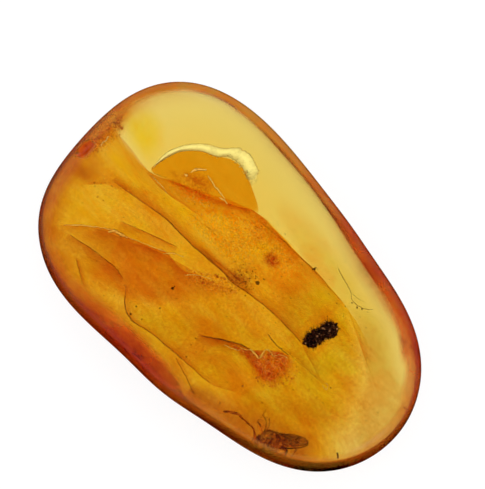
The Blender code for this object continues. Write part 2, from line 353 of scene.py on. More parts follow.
def stone_points(directions):
    """Move points of a unit sphere onto the stone. Returns them and the middle of their box."""
    across = np.hypot(directions[:, 0], directions[:, 1])
    height = np.abs(directions[:, 2])
    angles = np.arctan2(directions[:, 1], directions[:, 0])
    is_crown = directions[:, 2] > 0
    power = stone_power(across, angles, is_crown)
    size = (across**power + height**power) ** (1.0 / power)
    reach = around(RIM_RADII, angles) / size
    depth = np.where(is_crown, CROWN_HEIGHT, BELLY_DEPTH) / size
    points = np.column_stack((directions[:, 0] * reach, directions[:, 1] * reach, directions[:, 2] * depth))
    middle = (points.min(axis=0) + points.max(axis=0)) / 2
    middle[2] = -GIRTH_Z
    return points - middle, middle


def keep_inside(points, share=DEEPEST_SHARE):
    """Pull points that are too near the stone's surface, or outside it, back towards its middle."""
    points = np.array(points, float)
    flat = points.reshape(-1, 3) + STONE_MIDDLE
    angles = np.arctan2(flat[:, 1], flat[:, 0])
    is_crown = flat[:, 2] > 0
    across = np.hypot(flat[:, 0], flat[:, 1]) / around(RIM_RADII, angles)
    height = np.abs(flat[:, 2]) / np.where(is_crown, CROWN_HEIGHT, BELLY_DEPTH)
    whole = np.maximum(np.hypot(across, height), 1e-9)
    power = stone_power(across / whole, angles, is_crown)
    fullness = (across**power + height**power) ** (1.0 / power)
    pull = np.minimum(1.0, share / np.maximum(fullness, 1e-9))
    return (flat * pull[:, None] - STONE_MIDDLE).reshape(points.shape)


def stone_mesh():
    """The whole stone: a finely cut cube, moved onto the stone's form, with its flat spot and its chip."""
    bm = bmesh.new()
    bmesh.ops.create_cube(bm, size=2.0)
    bmesh.ops.subdivide_edges(bm, edges=bm.edges, cuts=STONE_CUTS, use_grid_fill=True)
    cube = np.array([tuple(vert.co) for vert in bm.verts])
    rounded = np.tan(cube * math.pi / 4)
    rounded /= np.linalg.norm(rounded, axis=1, keepdims=True)
    points, middle = stone_points(rounded)
    wave = [noise.noise(Vector(point) / POLISH_WAVE_LENGTH) for point in points]
    points = points + rounded * (np.array(wave) - POLISH_SINK)[:, None] * POLISH_WAVE
    points = press_chip(points)
    for vert, point in zip(bm.verts, points):
        vert.co = Vector(point)
    everything = bm.verts[:] + bm.edges[:] + bm.faces[:]
    down = (0, 0, -1)
    cut = bmesh.ops.bisect_plane(bm, geom=everything, plane_co=(0, 0, 0), plane_no=down, clear_outer=True)
    rim = [item for item in cut["geom_cut"] if isinstance(item, bmesh.types.BMEdge)]
    bmesh.ops.holes_fill(bm, edges=rim)
    bmesh.ops.recalc_face_normals(bm, faces=bm.faces)
    return bm, middle


def press_chip(points, spread=1.0):
    """Press the shell-shaped chip into the shoulder, with the faint ripples of a fresh break."""
    centre = np.array(CHIP_CENTRE)
    radii = np.array(CHIP_RADII) * spread
    offset = (points - centre) / radii
    distance = np.linalg.norm(offset, axis=1)
    inside = distance < 1
    grain = np.array([noise.noise(Vector(point) * CHIP_GRAIN_SCALE) for point in points[inside]])
    ripple = 1 - CHIP_RIPPLE * np.sin(distance[inside] * CHIP_RIPPLES) - CHIP_GRAIN * grain
    pushed = offset[inside] / distance[inside, None] * ripple[:, None]
    points = points.copy()
    points[inside] = centre + pushed * radii
    return points


def make_amber():
    bm, middle = stone_mesh()
    tree = BVHTree.FromBMesh(bm)
    shape = Shape()
    bm.verts.ensure_lookup_table()
    shape.add([vert.co for vert in bm.verts], [[vert.index for vert in face.verts] for face in bm.faces])
    bm.free()
    amber = add_piece("amber", shape, [amber_material()], sharp=35)
    places = np.array(shape.corners) + middle
    add_mark(amber.data, "rind", around(RIND_STRENGTHS, np.arctan2(places[:, 1], places[:, 0])))
    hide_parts("amber_upper", "amber_lower")
    return tree, middle


# A pixel beside the stone is moved towards its middle until its ray hits, and its point outwards again.
STEPS_TO_STONE = np.linspace(1.0, 0.8, 81)
BEYOND_EDGE = 1.12


def seen_at(column, row, height):
    """The point at a height inside the stone that shows at a pixel of the photograph."""
    eye = AIM + CAMERA_BACK * CAMERA_DISTANCE
    plane = CAMERA_RIGHT * (column - STONE_COLUMN) - CAMERA_UP * (row - STONE_ROW)
    for share in STEPS_TO_STONE:
        ray = unit(plane * PIXEL * share - CAMERA_BACK * CAMERA_DISTANCE)
        hit, normal, _, _ = STONE_TREE.ray_cast(Vector(eye), Vector(ray))
        if hit is not None:
            break
    hit, normal = np.array(hit), np.array(normal)
    ratio = 1 / AMBER_IOR
    facing = -ray @ normal
    bent = ratio * ray + (ratio * facing - math.sqrt(1 - ratio**2 * (1 - facing**2))) * normal
    point = hit + bent * ((hit[2] - height) / -bent[2])
    if share < 1:
        point[:2] *= BEYOND_EDGE
    return point


def seen_path(pixels, heights):
    """Points for a row of pixels, at one height or at heights that run from the first to the last."""
    low, high = (heights, heights) if np.isscalar(heights) else heights
    shares = np.linspace(0, 1, len(pixels))
    return np.array([seen_at(*pixel, low + (high - low) * share) for pixel, share in zip(pixels, shares)])


# Materials


class Nodes:
    """Short names for making and linking the nodes of a material or of the world."""

    def __init__(self, owner):
        self.owner = owner
        owner.use_nodes = True
        self.tree = owner.node_tree
        self.shader = self.tree.nodes.get("Principled BSDF")
        self.output = self.tree.nodes.get("Material Output")

    def node(self, kind, **values):
        made = self.tree.nodes.new("ShaderNode" + kind)
        for key, value in values.items():
            setattr(made, key, value)
        return made

    def link(self, source, target):
        self.tree.links.new(source, target)

    def feed(self, source, socket):
        self.link(source, self.shader.inputs[socket])

    def set(self, **values):
        for key, value in values.items():
            self.shader.inputs[key.replace("_", " ")].default_value = value

    def place(self):
        return self.node("TexCoord").outputs["Object"]

    def height(self, source):
        """The upward part of a direction."""
        parts = self.node("SeparateXYZ")
        self.link(source, parts.inputs["Vector"])
        return parts.outputs["Z"]

    def stretch(self, source, scale, turn=(0.0, 0.0, 0.0)):
        mapping = self.node("Mapping")
        mapping.inputs["Scale"].default_value = scale
        mapping.inputs["Rotation"].default_value = turn
        self.link(source, mapping.inputs["Vector"])
        return mapping.outputs["Vector"]

    def noise(self, source, scale, detail=4.0, roughness=0.55, distortion=0.0):
        made = self.node("TexNoise")
        made.inputs["Scale"].default_value = scale
        made.inputs["Detail"].default_value = detail
        made.inputs["Roughness"].default_value = roughness
        made.inputs["Distortion"].default_value = distortion
        self.link(source, made.inputs["Vector"])
        return made.outputs["Fac"]

    def ramp(self, source, stops, interpolation="LINEAR"):
        """stops are (place, colour or grey) pairs."""
        made = self.node("ValToRGB")
        made.color_ramp.interpolation = interpolation
        elements = made.color_ramp.elements
        while len(elements) < len(stops):
            elements.new(0.5)
        for element, (place, colour) in zip(elements, stops):
            element.position = place
            element.color = (*((colour,) * 3 if np.isscalar(colour) else colour), 1.0)
        self.link(source, made.inputs["Fac"])
        return made.outputs["Color"]

    def maths(self, operation, *values, kind="Math"):
        made = self.node(kind, operation=operation)
        for socket, value in zip(made.inputs, values):
            if isinstance(value, (int, float, tuple)):
                socket.default_value = value
            else:
                self.link(value, socket)
        return made.outputs["Vector" if kind == "VectorMath" and operation != "DOT_PRODUCT" else "Value"]

    def times(self, first, second):
        return self.maths("MULTIPLY", first, second)

    def swing(self, source, size):
        """A value between 0 and 1 as a swing of a given size around 0."""
        return self.times(self.maths("SUBTRACT", source, 0.5), size)

    def mix(self, share, first, second):
        """A colour between two colours or sockets."""
        made = self.node("Mix", data_type="RGBA")
        self.link(share, made.inputs["Factor"])
        for socket, value in ((made.inputs[6], first), (made.inputs[7], second)):
            if isinstance(value, tuple):
                socket.default_value = (*value, 1.0)
            else:
                self.link(value, socket)
        return made.outputs[2]

    def mark(self, name):
        """A value that the mesh carries at its corners."""
        return self.node("Attribute", attribute_name=name).outputs["Fac"]

    def bump(self, height, strength, distance):
        made = self.node("Bump")
        made.inputs["Strength"].default_value = strength
        made.inputs["Distance"].default_value = distance * MM
        self.link(height, made.inputs["Height"])
        self.feed(made.outputs["Normal"], "Normal")

    def absorb(self, taken):
        """Fill the material with plain absorption, given per metre in red, green and blue."""
        density = max(taken) * 1.8
        volume = self.node("VolumeAbsorption")
        volume.inputs["Color"].default_value = (*[1 - value / density for value in taken], 1.0)
        volume.inputs["Density"].default_value = density
        self.link(volume.outputs["Volume"], self.output.inputs["Volume"])


def new_material(name):
    return Nodes(bpy.data.materials.new(name))


CLEAR = (1.0, 1.0, 1.0)
RIND_TINT = (0.82, 0.42, 0.14)


def amber_material():
    """Clear amber. Its weathered rind is redder on the steep sides, where the polish took least of it."""
    nodes = new_material("amber")
    nodes.set(Transmission_Weight=1.0, Roughness=0.0, IOR=AMBER_IOR)
    place = nodes.place()
    upward = nodes.maths("ABSOLUTE", nodes.height(nodes.node("TexCoord").outputs["Normal"]))
    patches = nodes.swing(nodes.noise(place, 220.0, 5.0, 0.6), 0.25)
    steepness = nodes.maths("ADD", nodes.maths("SUBTRACT", 1.0, upward), patches)
    rind = nodes.times(nodes.ramp(steepness, [(0.12, 0.0), (0.50, 1.0)], "EASE"), nodes.mark("rind"))
    nodes.feed(nodes.mix(rind, CLEAR, RIND_TINT), "Base Color")
    scratches = nodes.noise(nodes.stretch(place, (900.0, 9000.0, 4000.0), (0.0, 0.0, 0.6)), 1.0, 3.0)
    waves = nodes.noise(place, 420.0, 2.0)
    nodes.bump(nodes.maths("ADD", nodes.times(scratches, 0.12), waves), 0.05, 0.05)
    nodes.absorb(AMBER_ABSORPTION)
    return nodes.owner


def veil_material(name, tint, scale=(400.0, 1500.0, 1500.0), softness=0.5, patches=0.0, grit=0.25):
    """A stain on each face of a closed film in the amber, streaky, which fades out with the film's fade."""
    nodes = new_material(name)
    place = nodes.place()
    streaks = nodes.noise(nodes.stretch(place, scale), 1.0, 5.0, 0.65, 0.4)
    grain = nodes.swing(nodes.noise(place, 5200.0, 2.0), grit)
    body = nodes.ramp(nodes.maths("ADD", grain, streaks), [(0.30, 1.0 - softness), (0.68, 1.0)])
    if patches:
        red = tuple(value * factor for value, factor in zip(tint, (1.0, 1 - patches * 0.55, 1 - patches)))
        cloud = nodes.noise(place, 330.0, 4.0, 0.6, 0.6)
        tint = nodes.mix(nodes.ramp(cloud, [(0.42, 0.0), (0.60, 1.0)], "EASE"), tint, red)
    clear = nodes.node("BsdfTransparent")
    nodes.link(nodes.mix(nodes.times(nodes.mark("fade"), body), CLEAR, tint), clear.inputs["Color"])
    nodes.link(clear.outputs["BSDF"], nodes.output.inputs["Surface"])
    return nodes.owner


def film_material(name, colour, strength, roughness, grain, bump, spread, least=0.35):
    """A gas-filled film that mirrors the light above it, part see-through and patchy."""
    nodes = new_material(name)
    place = nodes.place()
    patches = nodes.noise(place, grain, 4.0, 0.7)
    body = nodes.ramp(patches, [(spread[0], least), (spread[1], 1.0)])
    share = nodes.ramp(nodes.times(nodes.mark("fade"), body), [(0.0, 0.0), (1.0, strength)])
    nodes.feed(share, "Alpha")
    nodes.feed(nodes.mix(patches, tuple(value * 0.8 for value in colour), colour), "Base Color")
    nodes.set(Roughness=roughness, Metallic=1.0)
    nodes.bump(nodes.noise(place, grain * 1.7, 3.0), 0.6, bump)
    return nodes.owner


def solid_material(name, dark, light, roughness, scale, alpha=1.0, bump=0.0, spread=(0.3, 0.7)):
    """An opaque or partly see-through matter, mottled between two colours."""
    nodes = new_material(name)
    place = nodes.place()
    mottle = nodes.noise(place, scale, 5.0, 0.65)
    nodes.feed(nodes.ramp(mottle, [(spread[0], dark), (spread[1], light)]), "Base Color")
    nodes.set(Roughness=roughness, IOR=MATTER_IOR)
    if alpha < 1:
        nodes.feed(nodes.ramp(mottle, [(0.3, alpha), (0.7, alpha * 0.7)]), "Alpha")
    if bump:
        nodes.bump(nodes.noise(place, scale * 3, 4.0), 0.5, bump)
    return nodes.owner


# Flows: closed shells of darker resin. Each has its outline in pixels, its height, how far it rises and
# sinks, how wide its soft border is as a share of its size, and the share of red, green and blue that it
# lets through. A point of an outline with a third number has that softness.

FLOWS = {
    "flow_broad": (
        ((250, 466, 0.03), (212, 440, 0.03), (160, 400, 0.03), (106, 352, 0.03), (68, 312, 0.03),
         (42, 268, 0.03), (32, 222, 0.03), (40, 172, 0.03), (62, 132, 0.03), (82, 108, 0.03),
         (98, 106, 0.08), (118, 134, 0.14), (150, 172, 0.03),
         (205, 192, 0.02), (257, 213, 0.02), (300, 255, 0.02), (342, 301, 0.03), (366, 340, 0.10),
         (380, 385), (372, 425), (352, 462), (326, 482), (284, 482, 0.08)),
        4.5, 1.3, 1.5, 0.22, (0.96, 0.72, 0.03),
    ),
    "flow_wedge": (
        ((151, 174, 0.02), (207, 194, 0.02), (257, 213, 0.02), (298, 252, 0.1), (322, 288), (300, 302),
         (268, 292), (236, 268), (206, 240), (178, 206)),
        5.5, 0.6, 0.6, 0.35, (1.0, 0.84, 0.40),
    ),
    "flow_wedge_root": (
        ((150, 174), (176, 180), (207, 192), (232, 206), (228, 222), (206, 216), (180, 204), (160, 190)),
        5.9, 0.3, 0.3, 0.5, (0.92, 0.82, 0.50),
    ),
    "flow_edge": (
        ((236, 204, 0.2), (262, 216, 0.05), (284, 240, 0.05), (302, 262, 0.2), (292, 276), (268, 264),
         (248, 238)),
        5.7, 0.3, 0.3, 0.5, (0.88, 0.86, 0.50),
    ),
    "flow_left": (
        ((58, 230, 0.5), (98, 230, 0.04), (127, 240, 0.04), (167, 256, 0.04), (200, 276, 0.06),
         (226, 292, 0.2), (200, 306), (150, 308), (100, 292), (64, 262)),
        4.6, 0.7, 0.8, 0.4, (0.82, 0.58, 0.50),
    ),
    "flow_lower": (
        ((106, 300), (150, 304), (220, 302), (286, 330), (336, 372), (330, 424), (284, 436), (230, 404),
         (178, 366), (138, 332)),
        3.4, 0.8, 0.8, 0.5, (0.86, 0.90, 0.50),
    ),
    "flow_right": (
        ((300, 262, 0.05), (342, 304, 0.05), (362, 346), (372, 392), (350, 430), (316, 440), (296, 400),
         (280, 340), (270, 300)),
        3.8, 0.6, 0.6, 0.5, (0.86, 0.98, 0.60),
    ),
    "flow_shoulder": (
        ((62, 150, 0.03), (78, 120, 0.03), (100, 98, 0.03), (122, 84, 0.03), (144, 82, 0.2), (140, 104),
         (132, 122), (122, 140), (102, 150), (84, 160)),
        5.6, 0.5, 0.5, 0.5, (0.88, 0.56, 0.12),
    ),
    "flow_heel": (
        ((350, 296), (398, 296), (418, 376), (408, 430), (372, 464), (338, 472), (350, 420), (364, 370)),
        4.4, 0.5, 0.5, 0.5, (0.82, 0.74, 0.50),
    ),
    "flow_patch": (
        ((122, 104), (146, 100), (166, 118), (170, 146), (156, 170), (138, 158), (122, 136), (116, 116)),
        5.2, 0.5, 0.5, 0.8, (0.98, 0.88, 0.16),
    ),
    "flow_pale": (
        ((262, 186), (300, 200), (350, 260), (388, 320), (402, 372), (396, 412), (380, 400), (356, 330),
         (300, 262)),
        4.6, 0.5, 0.5, 0.6, (0.92, 0.84, 0.50),
    ),
    "flow_foot": (
        ((184, 398, 0.03), (206, 432, 0.03), (240, 462, 0.03), (262, 478, 0.03), (300, 488, 0.05),
         (322, 464, 0.4), (306, 430), (266, 404), (226, 390)),
        4.5, 0.5, 0.9, 0.4, (0.60, 0.35, 0.50),
    ),
    "flow_low": (
        ((206, 372), (256, 390), (300, 392), (344, 398), (372, 416), (362, 446), (336, 470), (296, 470),
         (250, 430), (212, 394)),
        3.2, 0.5, 0.5, 0.8, (0.84, 0.80, 0.50),
    ),
    "smoke_middle": (
        ((224, 268), (240, 260), (254, 266), (260, 280), (252, 294), (234, 292), (222, 280)),
        5.2, 0.4, 0.4, 0.95, (0.40, 0.17, 0.35),
    ),
    "smoke_red": (
        ((262, 252), (273, 249), (283, 257), (283, 267), (272, 272), (261, 264)),
        5.6, 0.3, 0.3, 0.9, (0.44, 0.08, 0.40),
    ),
    "smoke_disc": (
        ((160, 170), (186, 168), (212, 176), (222, 192), (206, 196), (178, 184)),
        6.4, 0.15, 0.15, 0.9, (0.72, 0.40, 0.50),
    ),
    "smoke_shoulder": (
        ((66, 168), (82, 158), (102, 162), (102, 178), (86, 186), (70, 180)),
        6.0, 0.3, 0.3, 0.95, (0.70, 0.46, 0.40),
    ),
    "smoke_strip": (
        ((66, 176), (84, 168), (104, 168), (132, 178), (160, 196), (150, 204), (118, 190), (90, 182),
         (70, 186)),
        5.4, 0.4, 0.4, 0.9, (0.84, 0.62, 0.40),
    ),
    "smoke_seam": (
        ((258, 290), (278, 294), (304, 318), (310, 340), (288, 340), (268, 316)),
        4.8, 0.4, 0.4, 0.8, (0.88, 0.66, 0.40),
    ),
    "smoke_right": (
        ((286, 280), (306, 276), (330, 296), (352, 330), (346, 352), (320, 330), (296, 306)),
        4.6, 0.3, 0.3, 0.9, (0.94, 0.90, 0.50),
    ),
}
# How soft and how gritty the stain of a flow is
SMOOTH_STAIN = (0.5, 0.3)
GRITTY_STAIN = (0.9, 1.6)
FLOW_PATCHES = 0.22
GRITTY_FLOWS = ("flow_wedge", "flow_wedge_root", "flow_edge", "smoke_middle", "smoke_disc")
OUTLINE_STEPS = 96
LENS_STEPS = 16
LENS_BULGE = 0.35
LENS_BULGE_SCALE = 0.5
FLOW_SHARE = 0.985
FLOW_WAVES = (0.12, 1.1)


def flow_outline(pixels, height, soft):
    """A closed outline through pixels at a height, and how soft its border is at each point."""
    marks = [(*mark, soft)[:3] for mark in pixels]
    outline = smooth_path(seen_path([mark[:2] for mark in marks], height), OUTLINE_STEPS, closed=True)
    places = np.arange(OUTLINE_STEPS) / OUTLINE_STEPS * len(marks)
    return outline, np.interp(places, range(len(marks) + 1), [mark[2] for mark in marks] + [marks[0][2]])


def lens(shape, outline, rise, sink, softness, seed):
    """A closed lens on an outline, fading out towards its border. softness has one value for each point."""
    middle = outline.mean(axis=0)
    shift = Vector((seed, 0, 0))
    shares = np.sin(np.linspace(0.05, 1.0, LENS_STEPS) * math.pi / 2)
    rings, fades = [], []
    for height, order in ((rise, shares), (-sink, shares[-2::-1])):
        for share in order:
            ring = middle + (outline - middle) * share
            bulges = [noise.noise(Vector(point) * LENS_BULGE_SCALE + shift) for point in ring]
            ring[:, 2] += height * (1 - share**3) ** (1 / 3) * (1 + LENS_BULGE * np.array(bulges))
            rings.append(keep_inside(ring, FLOW_SHARE))
            fades.append(1 - smoothstep(1 - softness, 1, share) * smoothstep(0.03, 0.15, softness))
    loft(shape, rings, fades=fades)


def add_lens(name, place, rise, sink, seed, material, waves=None):
    """A piece that is a lens. place is its outline's pixels, its height and its border's softness."""
    outline, softness = flow_outline(*place)
    if waves is not None:
        outline = wobble(outline, *waves)
    shape = Shape()
    lens(shape, outline, rise, sink, softness, seed)
    add_piece(name, shape, [material])


def make_flows():
    for number, (name, (pixels, height, rise, sink, soft, tint)) in enumerate(FLOWS.items()):
        face = tuple(math.sqrt(value) for value in tint)
        blur, grit = GRITTY_STAIN if name in GRITTY_FLOWS else SMOOTH_STAIN
        veil = veil_material(name, face, softness=blur, patches=FLOW_PATCHES, grit=grit)
        add_lens(name, (pixels, height, soft), rise, sink, number, veil, (*FLOW_WAVES, number))


# Around the rim, two closed bands lie just under the gloss: the weathered skin, a thin crazed crust that the
# polish left on the steep sides, and under it a soft red stain. Strengths, slopes and redness are given at
# even steps around the rim.

SKIN_UPPER = (0.25, 0.60, 0.55, 0.60, 0.72, 0.78, 0.80, 0.72, 0.36, 0.20, 0.30, 0.55, 0.55, 0.32, 0.22, 0.25)
SKIN_LOWER = (0.10, 0.60, 0.60, 0.25, 0.02, 0.0, 0.0, 0.0, 0.03, 0.08, 0.25, 0.75, 0.75, 0.10, 0.03, 0.04)
SKIN_BEGINS = (40.0, 22.0, 25.0, 31.0, 35.0, 35.0, 35.0, 35.0, 35.0, 33.0, 27.0, 19.0, 19.0, 32.0, 52.0, 56.0)
SKIN_REDNESS = (0.4, 1.0, 1.0, 0.85, 0.45, 0.15, 0.0, 0.0, 0.1, 0.35, 0.6, 1.0, 1.0, 0.5, 0.1, 0.1)
SKIN_STOPS = (0.30, 0.50, 0.72)
SKIN_ORANGES = ((1.0, 0.58, 0.06), (1.0, 0.42, 0.03), (0.92, 0.26, 0.01))
SKIN_REDS = ((1.0, 0.34, 0.03), (0.92, 0.16, 0.012), (0.56, 0.05, 0.004))
STAIN_UPPER = (0.0, 0.05, 0.10, 0.05, 0.0, 0.0, 0.0, 0.30, 0.80, 0.95, 1.0, 0.90, 0.50, 0.15, 0.05, 0.0)
STAIN_LOWER = (0.0, 0.20, 0.30, 0.10, 0.0, 0.0, 0.0, 0.05, 0.40, 0.60, 0.60, 0.60, 0.50, 0.10, 0.0, 0.0)
STAIN_TINT = (0.84, 0.52, 0.26)

# Each band has, for its upper and its lower side, its strengths, the slope in degrees where it begins and how
# many degrees on it is full. Then come its strength in the chip and, for its outer and its inner wall, how
# far out the wall lies and how much wider than the chip its own dent is.
BANDS = {
    "weathered_skin": (
        (SKIN_UPPER, SKIN_BEGINS, 4.5), (SKIN_LOWER, 31.0, 13.0), 0.95, ((0.988, 1.12), (0.980, 1.15)),
    ),
    "rim_stain": (
        (STAIN_UPPER, 10.0, 36.0), (STAIN_LOWER, 20.0, 40.0), 0.3, ((0.970, 1.20), (0.960, 1.24)),
    ),
}
BAND_LATITUDES = (74.0, -72.0)
BAND_TURNS = 320
BAND_ROWS = 54


def make_band(name, material):
    """A closed band under the stone's surface. Returns it, its columns' turns and where it is in the chip."""
    upper, lower, in_chip, walls = BANDS[name]
    turns = np.arange(BAND_TURNS) / BAND_TURNS * math.tau
    turn, rise = np.meshgrid(turns, np.radians(np.linspace(*BAND_LATITUDES, BAND_ROWS)))
    directions = np.stack((np.cos(rise) * np.cos(turn), np.cos(rise) * np.sin(turn), np.sin(rise)), axis=2)
    full, middle = stone_points(directions.reshape(-1, 3))
    full = (full + middle).reshape(directions.shape)
    across = np.roll(full, -1, axis=1) - np.roll(full, 1, axis=1)
    normal = np.cross(across, np.gradient(full, axis=0))
    normal /= np.maximum(np.linalg.norm(normal, axis=2, keepdims=True), 1e-9)
    slope = np.degrees(np.arccos(np.clip(np.abs(normal[:, :, 2]), 0, 1)))
    sides = []
    for strengths, begins, span in (upper, lower):
        begin = around(np.broadcast_to(begins, len(RIM_RADII)), turns)
        sides.append(around(strengths, turns) * smoothstep(0, 1, (slope - begin) / span))
    above, below = sides
    fade = below + (above - below) * smoothstep(-0.12, 0.12, rise)
    fade = np.clip(fade, 0, 1) * smoothstep(0, 4, np.arange(BAND_ROWS))[:, None]
    corners, fades, chipped = [], [], []
    for share, spread in walls:
        wall = (full * share - STONE_MIDDLE).reshape(-1, 3)
        pressed = press_chip(wall, spread)
        chipped.append((np.linalg.norm(pressed - wall, axis=1) > 1e-6).reshape(fade.shape))
        corners.append(pressed.reshape(full.shape))
        fades.append(np.where(chipped[-1], in_chip, fade))
    parts = (corners, fades, chipped)
    loop, loop_fades, loop_chipped = (np.concatenate((outer, inner[::-1])) for outer, inner in parts)
    faces = []
    for row in range(len(loop)):
        low = row * BAND_TURNS
        high = (row + 1) % len(loop) * BAND_TURNS
        for side in range(BAND_TURNS):
            after = (side + 1) % BAND_TURNS
            faces.append((low + side, low + after, high + after, high + side))
    shape = Shape()
    shape.add(loop.reshape(-1, 3), faces, loop_fades.ravel())
    return add_piece(name, shape, [material]), turns, loop_chipped


def make_skin():
    skin, turns, chipped = make_band("weathered_skin", skin_material())
    add_mark(skin.data, "redness", np.where(chipped, 1.0, around(SKIN_REDNESS, turns)).ravel())
    make_band("rim_stain", veil_material("rim_stain", STAIN_TINT, (500.0, 500.0, 500.0), 0.5, grit=0.5))


def skin_material():
    nodes = new_material("weathered_skin")
    place = nodes.place()
    fine = nodes.swing(nodes.noise(place, 3600.0, 3.0, 0.6), 0.3)
    uneven = nodes.maths("ADD", nodes.noise(place, 520.0, 6.0, 0.62, 0.5), fine)
    orange, red = (nodes.ramp(uneven, list(zip(SKIN_STOPS, tones))) for tones in (SKIN_ORANGES, SKIN_REDS))
    nodes.feed(nodes.mix(nodes.mark("redness"), orange, red), "Base Color")
    nodes.set(Roughness=0.6, Specular_IOR_Level=0.0)
    nodes.feed(nodes.times(nodes.mark("fade"), nodes.ramp(uneven, [(0.30, 0.70), (0.65, 1.0)])), "Alpha")
    return nodes.owner


# Seams: thin films that hang from a line and lean to one side. Each has its pixels, the height of its
# line at both ends, how far it drops, how far it leans (to the photo's upper right if positive) and its tint.

SEAMS = {
    "seam_main": (
        ((112, 180), (118, 185), (150, 207), (165, 218), (182, 235), (198, 250), (223, 272), (232, 282),
         (260, 302), (286, 326), (300, 342), (318, 376)),
        (6.4, 5.2), 2.6, 0.9, (0.72, 0.38, 0.22),
    ),
    "seam_double": (
        ((198, 246), (212, 259), (226, 270), (242, 284)),
        (6.0, 5.8), 1.0, 0.4, (0.75, 0.42, 0.25),
    ),
    "seam_upper": (
        ((146, 173), (158, 186), (170, 196), (184, 205), (202, 217)),
        (6.6, 6.0), 1.5, 0.8, (0.86, 0.58, 0.35),
    ),
    "seam_border": (
        ((116, 132), (132, 150), (150, 172), (180, 184), (207, 196), (236, 206), (257, 213), (280, 236),
         (312, 268), (344, 303)),
        (6.6, 5.4), 2.0, -1.1, (0.84, 0.56, 0.34),
    ),
    "seam_left": (
        ((60, 225), (73, 225), (98, 227), (115, 231), (127, 237), (153, 248), (167, 252), (182, 270),
         (197, 275), (236, 292)),
        (6.2, 5.6), 1.8, -1.1, (0.84, 0.50, 0.30),
    ),
    "seam_left_upper": (
        ((120, 221), (136, 228), (152, 235), (178, 247)),
        (6.3, 6.0), 1.2, -0.8, (0.82, 0.52, 0.32),
    ),
    "seam_low_left": (
        ((68, 234), (90, 248), (112, 265), (124, 279)),
        (5.9, 5.6), 1.4, -0.7, (0.80, 0.48, 0.30),
    ),
    "seam_lower": (
        ((126, 286), (125, 306), (132, 320), (150, 332), (174, 352), (190, 366), (208, 382), (236, 392)),
        (6.2, 5.4), 2.2, 0.8, (0.80, 0.50, 0.32),
    ),
    "seam_short": (((76, 258), (80, 272), (84, 287)), (5.8, 5.6), 0.9, 0.4, (0.80, 0.50, 0.32)),
    "seam_curve": (((176, 358), (186, 377), (194, 397)), (5.6, 5.2), 1.0, 0.4, (0.84, 0.60, 0.40)),
    "seam_faint": (((283, 348), (300, 362), (328, 388)), (5.4, 5.2), 1.6, 0.6, (0.90, 0.74, 0.52)),
    "seam_fracture": (((198, 334), (212, 338), (226, 340), (248, 348), (262, 358)), (6.0, 6.0), 1.2, -0.7,
                      (0.70, 0.34, 0.22)),
}
SEAM_ROWS = 14
SEAM_STEPS = 90
SEAM_WAVE = 0.10
SEAM_LEAN_POWER = 1.4
SEAM_END_POWER = 0.35
SEAM_FADE_POWER = 1.3


def make_seams():
    for number, (name, (pixels, heights, drop, lean, tint)) in enumerate(SEAMS.items()):
        line = smooth_path(seen_path(pixels, heights), SEAM_STEPS)
        line = wobble(line, SEAM_WAVE * 0.6, 0.9, number)
        along = np.gradient(line, axis=0)
        aside = np.column_stack((-along[:, 1], along[:, 0], np.zeros(len(line))))
        aside /= np.linalg.norm(aside, axis=1, keepdims=True)
        rows = []
        for share in np.linspace(0, 1, SEAM_ROWS):
            row = line + aside * lean * share**SEAM_LEAN_POWER - np.array((0, 0, drop * share))
            rows.append(wobble(row, SEAM_WAVE * share, 0.8, 3 + number))
        grid = keep_inside(np.array(rows).transpose(1, 0, 2))
        ends = np.sin(np.linspace(0, 1, SEAM_STEPS) * math.pi) ** SEAM_END_POWER
        fades = np.outer(ends, (1 - np.linspace(0, 1, SEAM_ROWS)) ** SEAM_FADE_POWER)
        shape = Shape()
        sheet(shape, grid, FILM, fades)
        add_piece(name, shape, [veil_material(name, tint)])


# Hairlines: the dark edges of the seams, and fine cracks. Each has its pixels, its heights and its radius.

HAIRLINES = {
    "main": (((118, 185), (150, 207), (165, 218), (182, 235), (198, 250), (223, 272), (232, 282),
              (260, 302), (286, 326), (300, 342)), (6.4, 5.4), 0.035),
    "main_double": (((200, 249), (214, 262), (228, 276), (240, 286)), (6.1, 5.9), 0.022),
    "border": (((258, 220), (280, 238), (296, 253), (312, 268), (328, 286), (342, 302)), (5.9, 5.5), 0.022),
    "left_upper": (((122, 222), (150, 234), (177, 247)), (6.3, 6.0), 0.018),
    "low_left": (((70, 235), (90, 248), (112, 265), (123, 278)), (5.9, 5.6), 0.020),
    "lower_bend": (((126, 284), (125, 306), (132, 320), (150, 332)), (6.2, 5.9), 0.030),
    "lower": (((150, 332), (174, 352), (190, 366), (208, 382)), (5.9, 5.5), 0.030),
    "short": (((76, 260), (79, 272), (83, 285)), (5.8, 5.6), 0.020),
    "curve": (((176, 358), (186, 378), (194, 396)), (5.6, 5.3), 0.016),
    "wedge": (((190, 213), (200, 222), (210, 229), (216, 236)), (6.0, 5.8), 0.016),
    "crack": (((338, 268), (344, 279), (350, 290), (353, 300), (362, 308), (373, 310)), (6.4, 6.0), 0.030),
    "crack_side": (((350, 290), (356, 297), (366, 303)), (6.4, 6.2), 0.014),
    "faint": (((285, 350), (304, 367), (325, 385)), (5.4, 5.2), 0.012),
    "disc": (((150, 172), (162, 176), (178, 182)), (6.8, 6.6), 0.014),
    "fracture": (((200, 336), (212, 338), (224, 340), (236, 343), (248, 348), (260, 358)),
                  (6.1, 6.1), 0.045),
    "fracture_side": (((268, 334), (274, 342), (282, 350), (289, 355)), (6.0, 6.0), 0.05),
}
HAIRLINE_STEPS = 60


